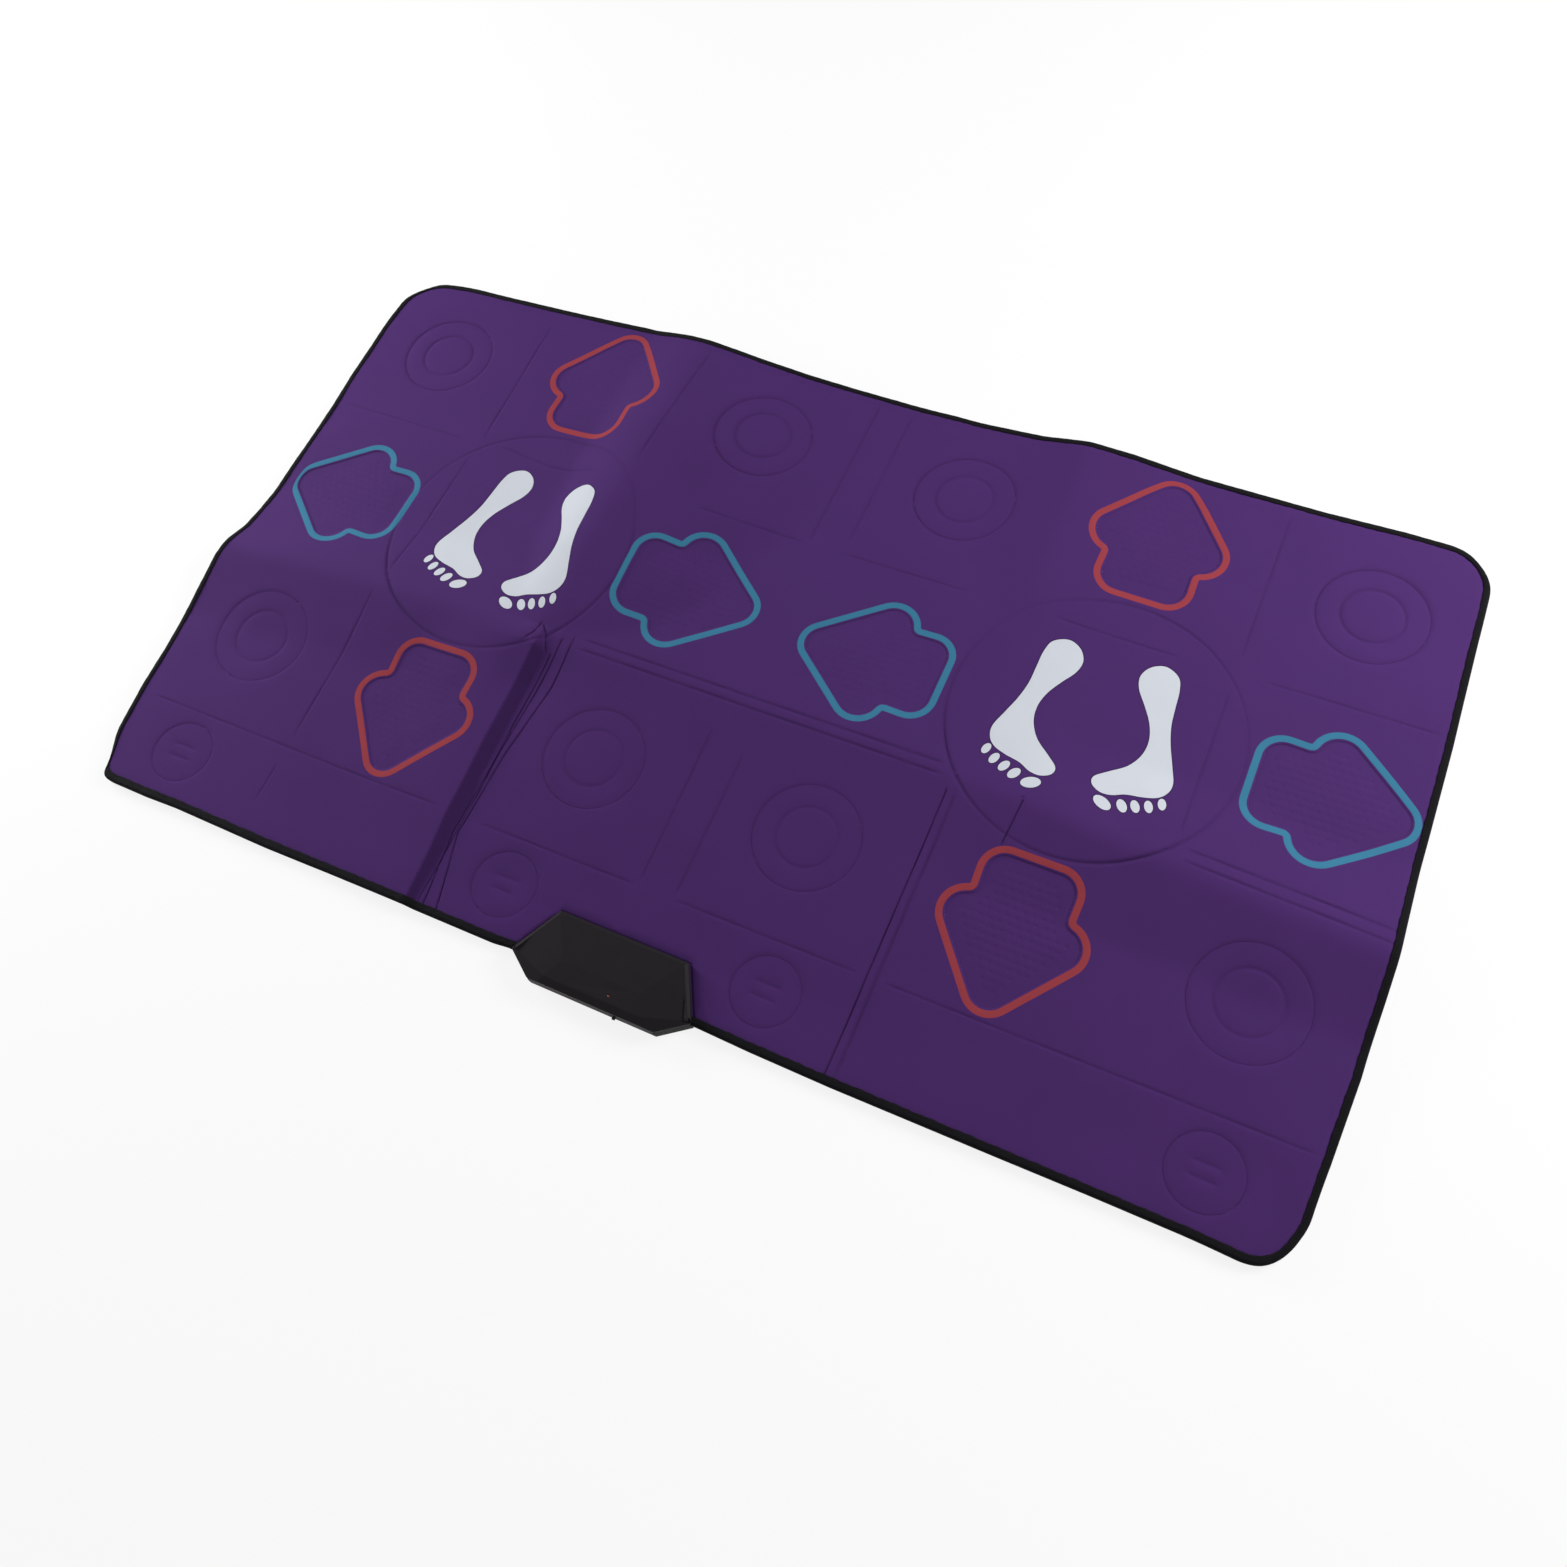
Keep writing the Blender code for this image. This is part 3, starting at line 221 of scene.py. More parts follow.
# Step pads and prints, about each player's middle
pads = {
    "players": ((-0.409, 0.058), (0.426, 0.058)),
    "reachAcross": 0.281, "reachAlong": 0.287,
    "band": 0.0086, "margin": 0.0029,      # printed outline, and from it to the pad
    "cornerX": 0.268, "cornerY": 0.264, "cornerRadius": 0.068, "innerRing": 0.0385,
    "menuY": -0.397, "menuRadius": 0.043,
    "menuX": ((-0.6865, -0.1715), (0.7035, 0.1885)),
    "slit": 0.00025,                       # between a pad and the cover
    # half of the arrow's outline: x, y and corner radius
    "arrowSide": ((0.0660, -0.0990, 0.0340), (0.0642, -0.0403, 0.0020),
                  (0.1165, -0.0226, 0.0360), (0.0000, 0.1217, 0.0333)),
    # how far an arrow's print lies from its even place
    "arrowShift": {"left_1": (0.0050, -0.0115), "right_1": (0.0, -0.0020), "back_2": (-0.0070, -0.0020),
                   "left_2": (-0.0045, -0.0135), "right_2": (0.0065, 0.0025)},
    "step": 0.0012, "stepStart": 0.0022, "stepWidth": 0.0030,    # down from the cover to an arrow's pad
    "crown": 0.0007, "crownStart": 0.001, "crownWidth": 0.030,   # its middle is a little higher
    "ringDepth": 0.0010, "ringWidth": 0.0026, "frontRings": 0.65,
    "sink": 0.0003, "sinkWidth": 0.004,    # round pads lie a little lower
    "dentPitch": 0.0115, "dentDepth": 0.00055, "dentWidth": 0.0021, "dentInset": 0.012,
    "barHalf": 0.013, "barOffset": 0.0085, "barDepth": 0.0009, "barWidth": 0.0022,
}


def insetCorners(corners, distance):
    out = []
    for k, (x, y, r) in enumerate(corners):
        ax, ay, _ = corners[k - 1]
        bx, by, _ = corners[(k + 1) % len(corners)]
        u = Vector((x - ax, y - ay)).normalized()
        v = Vector((bx - x, by - y)).normalized()
        n1, n2 = Vector((-u.y, u.x)), Vector((-v.y, v.x))
        move = (n1 + n2) * (distance / (1 + n1.dot(n2)))
        convex = u.x * v.y - u.y * v.x > 0
        out.append((x + move.x, y + move.y, max(0.0005, r - distance if convex else r + distance)))
    return out


def roundedLoop(corners, spacing):
    points = []
    for k, (x, y, r) in enumerate(corners):
        ax, ay, _ = corners[k - 1]
        bx, by, _ = corners[(k + 1) % len(corners)]
        u = Vector((ax - x, ay - y)).normalized()
        v = Vector((bx - x, by - y)).normalized()
        half = u.angle(v) / 2
        centre = Vector((x, y)) + (u + v).normalized() * (r / math.sin(half))
        start = Vector((x, y)) + u * (r / math.tan(half)) - centre
        turn = (math.pi - 2 * half) * (-1 if u.x * v.y - u.y * v.x > 0 else 1)
        steps = max(2, math.ceil(abs(turn) * r / spacing))
        a0 = math.atan2(start.y, start.x)
        for i in range(steps + 1):
            a = a0 + turn * i / steps
            points.append((centre.x + r * math.cos(a), centre.y + r * math.sin(a)))
    return filled(points, spacing)


def filled(points, spacing, closed=True):
    # adds points so that no stretch is longer than spacing
    out = []
    for k, p in enumerate(points if closed else points[:-1]):
        q = points[(k + 1) % len(points)]
        n = max(1, math.ceil(math.dist(p, q) / spacing))
        out += [(p[0] + (q[0] - p[0]) * i / n, p[1] + (q[1] - p[1]) * i / n) for i in range(n)]
    return out if closed else out + [points[-1]]


def ring(x, y, radius, sides):
    return [(x + radius * math.cos(2 * math.pi * k / sides), y + radius * math.sin(2 * math.pi * k / sides))
            for k in range(sides)]


def arrowLoop(place, inset, spacing):
    x, y, turns = place
    right = list(pads["arrowSide"])
    left = [(-a, b, r) for a, b, r in reversed(right[:-1])]
    points = roundedLoop(insetCorners(right + left, inset), spacing)
    for _ in range(turns):
        points = [(-b, a) for a, b in points]
    return [(a + x, b + y) for a, b in points]


arrowPlaces, cornerPlaces, menuPlaces = {}, {}, {}
for number, (px, py) in enumerate(pads["players"], 1):
    ways = ("back", 0, 1), ("left", -1, 0), ("front", 0, -1), ("right", 1, 0)
    for turns, (way, dx, dy) in enumerate(ways):
        sx, sy = pads["arrowShift"].get(f"{way}_{number}", (0.0, 0.0))
        arrowPlaces[f"pad_arrow_{way}_{number}"] = (px + sx + dx * pads["reachAcross"],
                                                    py + sy + dy * pads["reachAlong"], turns)
    for row, sy in (("back", 1), ("front", -1)):
        for side, sx in (("left", -1), ("right", 1)):
            place = px + sx * pads["cornerX"], py + sy * pads["cornerY"]
            cornerPlaces[f"pad_corner_{row}_{side}_{number}"] = place
    for side, x in zip(("outer", "inner"), pads["menuX"][number - 1]):
        menuPlaces[f"pad_menu_{side}_{number}"] = (x, pads["menuY"])
ringed = [(x, y, (pads["cornerRadius"], pads["innerRing"])) for x, y in cornerPlaces.values()]
ringed += [(x, y, (pads["menuRadius"],)) for x, y in menuPlaces.values()]
menuBars = [(x, y + side * pads["barOffset"]) for x, y in menuPlaces.values() for side in (-1, 1)]

# One printed foot, about the player's middle, in millimetres; the other is its mirror image
foot = {
    "sole": ((-63, 109), (-46, 102), (-37, 86), (-40, 68), (-52, 48), (-63, 27), (-68, 5), (-65, -17),
             (-53, -38), (-34, -54), (-20, -67), (-21, -78), (-33, -85), (-47, -84), (-62, -77), (-82, -73),
             (-98, -67), (-107, -56), (-109, -41), (-102, -18), (-94, 7), (-89, 32), (-88, 57), (-87, 82),
             (-81, 100)),
    "toes": ((-40, -98.0, 12.4, 7.4, 0.45), (-62.5, -93.5, 5.8, 9.2, -0.6), (-77.0, -88.5, 5.3, 8.7, -0.5),
             (-91.5, -83.0, 5.1, 8.4, -0.4), (-105.0, -74.0, 4.9, 8.0, -0.3)),
    # where each print lies from its even place
    "place": {(1, False): (0.0083, -0.0008), (1, True): (0.0098, -0.0060),
              (2, False): (-0.0020, -0.0070), (2, True): (0.0040, -0.0007)},
    # how much further its heel lies: nothing in front of a y, and all of it a reach behind
    "heelShift": {(1, False): 0.012, (1, True): -0.002, (2, True): -0.009},
    "heelStart": -60, "heelReach": 170,
    "spacing": 2.6, "toePoints": 18,
}


def smoothLoop(points, spacing):
    out = []
    n = len(points)
    for k in range(n):
        p = [Vector(points[(k + d) % n]) for d in (-1, 0, 1, 2)]
        steps = max(2, math.ceil((p[2] - p[1]).length / spacing))
        for i in range(steps):
            t = i / steps
            curve = (2 * p[1] + (p[2] - p[0]) * t + (2 * p[0] - 5 * p[1] + 4 * p[2] - p[3]) * t * t
                     + (3 * p[1] - p[0] - 3 * p[2] + p[3]) * t ** 3)
            out.append(tuple(0.5 * curve))
    return out


def footLoops(player, px, py, mirrored):
    sign = -1 if mirrored else 1
    heel = foot["heelShift"].get((player, mirrored), 0.0)
    sx, sy = foot["place"][player, mirrored]
    loops = [smoothLoop(foot["sole"], foot["spacing"])]
    half = foot["toePoints"] / 2
    for x, y, a, b, turn in foot["toes"]:
        oval = [(a * math.cos(k * math.pi / half), b * math.sin(k * math.pi / half))
                for k in range(foot["toePoints"])]
        c, s = math.cos(turn), math.sin(turn)
        loops.append([(x + c * u - s * v, y + s * u + c * v) for u, v in oval])

    def placed(u, v):
        heelShare = float(ease((v - foot["heelStart"]) / foot["heelReach"]))
        return px + sign * u / 1000 + sx + heel * heelShare, py + v / 1000 + sy

    return [counterclockwise([placed(u, v) for u, v in loop]) for loop in loops]


def counterclockwise(points):
    area = sum(p[0] * q[1] - q[0] * p[1] for p, q in zip(points, points[1:] + points[:1]))
    return points if area > 0 else points[::-1]


# Lines that the folds and the press left in the cloth: their points, depths and half widths
pressed = {
    "panelLines": [
        ((-0.549, 0.432), (-0.5415, 0.193)), ((-0.5494, -0.086), (-0.549, -0.240), (-0.548, -0.327)),
        ((-0.5465, -0.357), (-0.5466, -0.425)), ((-0.2755, 0.445), (-0.2781, 0.313), (-0.2837, 0.215)),
        ((-0.011, 0.452), (-0.011, 0.180)), ((-0.011, -0.110), (-0.011, -0.337)),
        ((0.038, 0.445), (0.040, 0.200)), ((0.0405, -0.130), (0.038, -0.337)),
        ((0.5631, 0.440), (0.5632, 0.317), (0.5633, 0.207)),
        ((-0.790, 0.1895), (-0.5684, 0.1886)), ((-0.180, 0.177), (-0.0596, 0.1826), (-0.011, 0.183)),
        ((0.0381, 0.183), (0.2242, 0.1828)), ((0.5956, 0.1871), (0.8112, 0.1876)),
        ((-0.7800, -0.338), (-0.2983, -0.3377)), ((-0.2443, -0.3374), (-0.011, -0.3372)),
        ((0.0338, -0.3371), (0.285, -0.3368)), ((0.308, -0.3366), (0.8126, -0.3355)),
        ((-0.5455, 0.165), (-0.5470, -0.060)), ((0.5640, 0.160), (0.5645, -0.050)),
        ((-0.5150, 0.1950), (-0.418, 0.1835), (-0.330, 0.1900)), ((0.330, 0.1850), (0.500, 0.1850)),
    ],
    "panelDepth": 0.00085, "panelWidth": 0.0015,
    "longLines": [
        ((-0.232, -0.0611), (-0.026, -0.0611), (0.017, -0.0611), (0.285, -0.0611)),
        ((-0.232, -0.0755), (-0.027, -0.0757), (0.285, -0.0756)),
        ((0.5711, -0.0627), (0.6923, -0.0684), (0.8250, -0.0745)),
        ((0.5711, -0.0784), (0.6921, -0.0842), (0.8250, -0.0905)),
        ((0.3055, -0.086), (0.3055, -0.1063), (0.3032, -0.2797), (0.3021, -0.4630)),
    ],
    "longDepth": 0.0012, "longWidth": 0.0018,
    "creaseLines": [
        ((-0.2412, -0.0591), (-0.2413, -0.1331), (-0.2573, -0.2402), (-0.2627, -0.3592), (-0.2356, -0.4642)),
        ((-0.2560, -0.0640), (-0.2590, -0.1331), (-0.2660, -0.2402), (-0.2700, -0.3592), (-0.2560, -0.4642)),
        ((-0.2640, -0.0900), (-0.2680, -0.2000), (-0.2650, -0.3000), (-0.2660, -0.4600)),
        ((0.2938, -0.086), (0.2938, -0.1063), (0.2914, -0.2798), (0.2903, -0.4630)),
        ((0.3840, -0.0660), (0.3815, -0.1000), (0.3781, -0.1342)),
        ((-0.2935, -0.0540), (-0.2975, -0.0754), (-0.3072, -0.0919)),
        ((-0.2935, -0.0560), (-0.2820, -0.0700), (-0.2720, -0.0950)),
    ],
    "creaseDepth": 0.0019, "creaseWidth": 0.0010,
    "fade": {"panel": 0.020, "long": 0.020, "crease": 0.008},   # towards a line's ends
    "slack": 0.2,                          # how uneven a line is along its length
    # painted shade: how much darker the cloth is painted at each mark, how much wider than the line, and half
    # widths of its own
    "shade": {"panel": 0.12, "long": 0.20, "crease": 0.42, "circle": 0.17, "ring": 0.17, "flank": 0.42,
              "foot": 0.75, "box": 0.85},
    "shadeWiden": 1.25, "shadeRound": 0.0024, "footRim": 0.0016,
    "flankStart": 0.070, "flankStartReach": 0.030, "flankRim": 0.0012,
    # where the control box presses into the cover: a line along its edge, and a level sunk under it
    "boxEdge": ((-0.1210, -0.4650), (-0.0858, -0.4002), (0.0918, -0.4002), (0.1270, -0.4650)),
    "boxDepth": 0.0012, "boxWidth": 0.0016,
    "boxSink": 0.0006, "boxHalf": 0.1330, "boxBack": -0.3925, "boxRamp": 0.008,
    # the circle round the feet
    "circleShift": (0.002, -0.003), "circleRadius": 0.181, "circleDepth": 0.00120, "circleWidth": 0.0019,
    # the whole cover: faint ripples, and how it rolls down to the edge tape
    "ripple": (0.00016, 0.00014), "edgeRoll": 0.0016, "edgeRollWidth": 0.016,
}


def polylineDistance(x, y, points):
    # distance to the line, and how far along it the nearest point is
    best = np.full(x.shape, 1e9)
    place = np.zeros(x.shape)
    run = 0.0
    for (ax, ay), (bx, by) in zip(points, points[1:]):
        dx, dy = bx - ax, by - ay
        length = math.hypot(dx, dy)
        t = np.clip(((x - ax) * dx + (y - ay) * dy) / length ** 2, 0, 1)
        d = np.hypot(x - ax - t * dx, y - ay - t * dy)
        nearer = d < best
        best[nearer] = d[nearer]
        place[nearer] = run + t[nearer] * length
        run += length
    return best, place, run


def toLine(x, y, points, reach, closed=False):
    # the points near a line: which they are, how far off it, how far along it, and its whole length
    xs, ys = [p[0] for p in points], [p[1] for p in points]
    close = (x > min(xs) - reach) & (x < max(xs) + reach) & (y > min(ys) - reach) & (y < max(ys) + reach)
    at = np.nonzero(close)[0]
    return (at, *polylineDistance(x[at], y[at], points + points[:1] if closed else points))


def around(x, y, placeX, placeY, reach):
    return np.nonzero((np.abs(x - placeX) < reach) & (np.abs(y - placeY) < reach))[0]


def groove(distance, halfWidth):
    return np.exp(-(distance / halfWidth) ** 2)


def inside(x, y, loop):
    hit = np.zeros(x.shape, bool)
    for (ax, ay), (bx, by) in zip(loop, loop[1:] + loop[:1]):
        if ay != by:
            crosses = (ay > y) != (by > y)
            hit ^= crosses & (x < (bx - ax) * (y - ay) / (by - ay) + ax)
    return hit


rowShare = 0.87                            # of the pitch, between rows of staggered points


def dentPlaces(place):
    x, y, _ = place
    pitch = pads["dentPitch"]
    loop = arrowLoop(place, pads["band"] + pads["margin"] + pads["dentInset"], 0.01)
    spots = np.array([(x + (column + 0.5 * (row % 2)) * pitch, y + row * pitch * rowShare)
                      for row in range(-9, 10) for column in range(-9, 10)])
    return spots[inside(spots[:, 0], spots[:, 1], loop)]


def ringStrength(y):
    # the front row's rings are pressed less deep
    return pads["frontRings"] if y < mat["creaseLong"] else 1.0


def circleMark(x, y, px, py):
    # distance to the circle round the feet, and how strongly it is pressed there, the deepest at the front
    sx, sy = pressed["circleShift"]
    distance = np.abs(np.hypot(x - px - sx, y - py - sy) - pressed["circleRadius"])
    angle = np.arctan2(y - py, x - px)
    front = ease((-np.sin(angle + 0.17) - 0.35) / 0.4)
    return distance, (0.7 + 0.3 * np.sin(3 * angle + px * 9)) * (0.8 + 0.8 * front)


def lineMarks(x, y, widen=1.0):
    # every pressed line: kind, half width, the points near it, how far off they are, and how the line
    # fades and varies there
    for kind in ("panel", "long", "crease"):
        width, fade = widen * pressed[kind + "Width"], pressed["fade"][kind]
        for line in pressed[kind + "Lines"]:
            at, d, place, run = toLine(x, y, line, 4 * width)
            ends = ease(place / fade) * ease((run - place) / fade)
            slack = pressed["slack"]
            vary = 1 - slack + slack * np.sin(place * 60 + run * 40)
            yield kind, width, at, d, ends, vary


def relief(x, y):
    # how the cover's upper side departs from an even layer
    across, down = pressed["ripple"]
    z = across * np.sin(41 * x + 3 * np.sin(17 * y)) + down * np.sin(53 * y + 2 * np.sin(23 * x + 1))
    z -= pressed["edgeRoll"] * (1 - ease(edgeDistance(x, y) / pressed["edgeRollWidth"])) ** 2
    for kind, width, at, d, ends, vary in lineMarks(x, y):
        z[at] -= pressed[kind + "Depth"] * ends * vary * groove(d, width)
    for px, py in pads["players"]:
        d, strength = circleMark(x, y, px, py)
        z -= pressed["circleDepth"] * strength * groove(d, pressed["circleWidth"])
    for place in arrowPlaces.values():
        loop = arrowLoop(place, pads["band"] + pads["margin"], 0.004)
        at, d, _, _ = toLine(x, y, loop, 0.004, True)
        depth = np.where(inside(x[at], y[at], loop), d, -d)
        z[at] -= pads["step"] * ease((depth + pads["stepStart"]) / pads["stepWidth"])
        z[at] += pads["crown"] * ease((depth - pads["crownStart"]) / pads["crownWidth"])
        for sx, sy in dentPlaces(place):
            close = around(x, y, sx, sy, 0.006)
            z[close] -= pads["dentDepth"] * groove(np.hypot(x[close] - sx, y[close] - sy), pads["dentWidth"])
    for sx, sy, rings in ringed:
        at = around(x, y, sx, sy, 0.08)
        r = np.hypot(x[at] - sx, y[at] - sy)
        z[at] -= pads["sink"] * ease((rings[0] - r) / pads["sinkWidth"])
        for radius in rings:
            z[at] -= ringStrength(sy) * pads["ringDepth"] * groove(r - radius, pads["ringWidth"])
    across = ease((pressed["boxHalf"] - np.abs(x - mat["boxX"])) / pressed["boxRamp"])
    z -= pressed["boxSink"] * across * ease((pressed["boxBack"] - y) / pressed["boxRamp"])
    at, d, _, _ = toLine(x, y, pressed["boxEdge"], 0.006)
    z[at] -= pressed["boxDepth"] * groove(d, pressed["boxWidth"])
    for sx, sy in menuBars:
        at, d, _, _ = toLine(x, y, ((sx - pads["barHalf"], sy), (sx + pads["barHalf"], sy)), 0.017)
        z[at] -= pads["barDepth"] * groove(d, pads["barWidth"])
    return z


def coverTop(x, y):
    return lift(x, y) + mat["coverTop"] + relief(x, y)


def paintedShade(x, y):
    # painted shade: how much darker the cloth is painted where shade falls in the creases, grooves and steep
    # flank and along the box's edge, with a dark line round the printed feet
    shade = np.zeros(x.shape)
    amounts = pressed["shade"]

    def darken(at, value):
        shade[at] = np.maximum(shade[at], value)

    # painted shade along the fold, crease and panel lines
    for kind, width, at, d, ends, _ in lineMarks(x, y, pressed["shadeWiden"]):
        darken(at, amounts[kind] * ends * groove(d, width))
    # painted shade along the circle round the feet, deepest at the front
    for px, py in pads["players"]:
        d, strength = circleMark(x, y, px, py)
        darken(slice(None), amounts["circle"] * strength * groove(d, pressed["shadeRound"]))
    # painted shade along the ring grooves, darkest on their left side
    for sx, sy, rings in ringed:
        at = around(x, y, sx, sy, 0.08)
        r, angle = np.hypot(x[at] - sx, y[at] - sy), np.arctan2(y[at] - sy, x[at] - sx)
        turn = 0.5 * np.sin(40 * sx + 70 * sy)
        uneven = ringStrength(sy) * (0.65 - 0.35 * np.cos(angle + turn))    # darkest about the left
        for radius in rings:
            darken(at, amounts["ring"] * uneven * groove(r - radius, pressed["shadeRound"]))
    # a dark line just outside the printed feet
    for loop in footRims:
        at, d, _, _ = toLine(x, y, loop, 0.004, True)
        darken(at, amounts["foot"] * np.clip(1 - d / pressed["footRim"], 0, 1))
    # painted shadow along the box's edge
    at, d, _, _ = toLine(x, y, pressed["boxEdge"], 0.006)
    darken(at, amounts["box"] * groove(d, pressed["boxWidth"]))
    # painted shade over the steep flank beside the front left crease
    beside = np.abs(x - along(-y, waves["flankX"]))
    reach = ease((-y - pressed["flankStart"]) / pressed["flankStartReach"])
    half, rim = along(-y, waves["flankHalf"]), pressed["flankRim"]
    darken(slice(None), amounts["flank"] * reach * ease((half + rim - beside) / (2 * rim)))
    return shade


def sideways(path, closed=True):
    # the direction to the left of a path, at each of its points
    step = np.roll(path, -1, 0) - np.roll(path, 1, 0)
    if not closed:
        step[0], step[-1] = path[1] - path[0], path[-1] - path[-2]
    return np.stack([-step[:, 1], step[:, 0]], 1) / np.linalg.norm(step, axis=1)[:, None]


# The whole upper side is meshed at once, so that neighbouring pieces share their edges
class Plan:
    cell = 0.004                           # of the grid that finds near points
    apart = 0.0009

    def __init__(self):
        self.points, self.loops, self.tags, self.lines, self.cells = [], [], [], [], {}

    def cellOf(self, p):
        return int(p[0] // self.cell), int(p[1] // self.cell)

    def put(self, p):
        self.points.append(p)
        self.cells.setdefault(self.cellOf(p), []).append(p)
        return len(self.points) - 1

    def loop(self, tag, points):
        self.loops.append([self.put(p) for p in counterclockwise(points)])
        self.tags.append(tag)

    def line(self, points):
        kept = [self.put(p) for p in points]
        self.lines += list(zip(kept, kept[1:]))

    def free(self, points, spacing, bound=0.0012):
        # adds the points that lie inside the mat's edge and at least spacing from all others
        reach = math.ceil(spacing / self.cell)
        flat = np.array(points)
        ok = edgeDistance(flat[:, 0], flat[:, 1]) > bound
        for p, good in zip(points, ok):
            i, j = self.cellOf(p)
            if good and all(math.dist(p, q) > spacing for a in range(i - reach, i + reach + 1)
                            for b in range(j - reach, j + reach + 1) for q in self.cells.get((a, b), ())):
                self.put(p)

    def rows(self, points, offsets, spacing, closed=False):
        # rows of points along a line, at these offsets to its sides
        flat = np.array(filled(list(points), spacing, closed))
        normal = sideways(flat, closed)
        for offset in offsets:
            self.free([tuple(p) for p in flat + normal * offset], self.apart)

    def mesh(self):
        points = [Vector(p) for p in self.points]
        verts, _, faces, _, _, origin = delaunay_2d_cdt(points, self.lines, self.loops, 1, 1e-7)
        tagged = [{self.tags[k] for k in kinds} for kinds in origin]
        return np.array([tuple(v) for v in verts]), np.array(faces), tagged


def outline(inset, spacing=0.006):
    x, y, r = mat["halfX"] - inset, mat["halfY"] - inset, mat["corner"] - inset
    return roundedLoop([(-x, -y, r), (x, -y, r), (x, y, r), (-x, y, r)], spacing)


def hexGrid(x0, x1, y0, y1, pitch):
    columns, rows = int((x1 - x0) / pitch) + 1, int((y1 - y0) / (pitch * rowShare)) + 1
    return [(x0 + 0.5 * pitch * (row % 2) + k * pitch, y0 + row * pitch * rowShare)
            for row in range(rows) for k in range(columns)]


def seams(plan, spacing):
    # where the quarters and the strip over the long crease meet
    hx, hy, sx, sy = mat["halfX"], mat["halfY"], mat["stripX"], mat["stripY"]
    cx, cy = mat["seamX"], mat["creaseLong"]
    box = [(-sx, cy - sy), (sx, cy - sy), (sx, cy + sy), (-sx, cy + sy)]
    plan.loop("strip", filled(box, spacing))
    plan.line(filled([(cx, -hy), (cx, cy - sy)], spacing, False))
    plan.line(filled([(cx, cy + sy), (cx, hy)], spacing, False))
    plan.line(filled([(-hx, cy), (-sx, cy)], spacing, False))
    plan.line(filled([(sx, cy), (hx, cy)], spacing, False))
    return [box + box[:1], [(cx, -hy), (cx, hy)], [(-hx, cy), (-sx, cy)], [(sx, cy), (hx, cy)]]


# Openings through the mat under the box, for the two clamp screws and the film's tail
openings = {
    "screws": ((-0.052, -0.4205), (0.058, -0.4205)), "screwRadius": 0.0019,
    "tail": (-0.0093, 0.0183, -0.4290, -0.4270),
}


def screwOpenings(plan):
    for x, y in openings["screws"]:
        plan.loop("opening", ring(x, y, openings["screwRadius"], 12))


footRims = []

# How finely the cover is meshed beside each mark: offsets to its sides, and the points' spacing
fine = {
    "foot": ((-0.0016,), 0.0026), "box": ((0, -0.0012, 0.0012, -0.0025, 0.0025), 0.004),
    "bar": ((-0.004, -0.002, 0, 0.002, 0.004), 0.0025), "seam": ((-0.0012, 0.0012, -0.003, 0.003), 0.005),
    "crease": ((0, -0.0007, 0.0007, -0.0016, 0.0016, -0.003, 0.003), 0.004),
    "line": ((0, -0.0013, 0.0013, -0.0027, 0.0027, -0.0048, 0.0048), 0.005),
    "circle": ((0, -0.0014, 0.0014, -0.003, 0.003, -0.005, 0.005), 0.006),
    # offsets alone; ringPoints stand on each metre of a ring's radius
    "ringPoints": 1350, "apart": 0.0007, "dentApart": 0.0005, "loopSpacing": 0.004,
    "arrow": (-0.0010, 0.0010, 0.0022, 0.0045, 0.0080), "dent": (0.0017, 0.0034),
    "ring": (-0.0045, -0.0027, -0.0013, 0, 0.0013, 0.0027, 0.0045),
    "edge": (0.0014, 0.003, 0.005, 0.0075, 0.0105, 0.014),
    # x from, x to, y from, y to and pitch
    "flank": (-0.315, -0.232, -0.463, -0.050, 0.0032), "flankApart": 0.0022,
    "gridApart": 0.0048, "gridBound": 0.016,
    "lowPitch": 0.024, "padPitch": 0.016,  # of the undersides
}


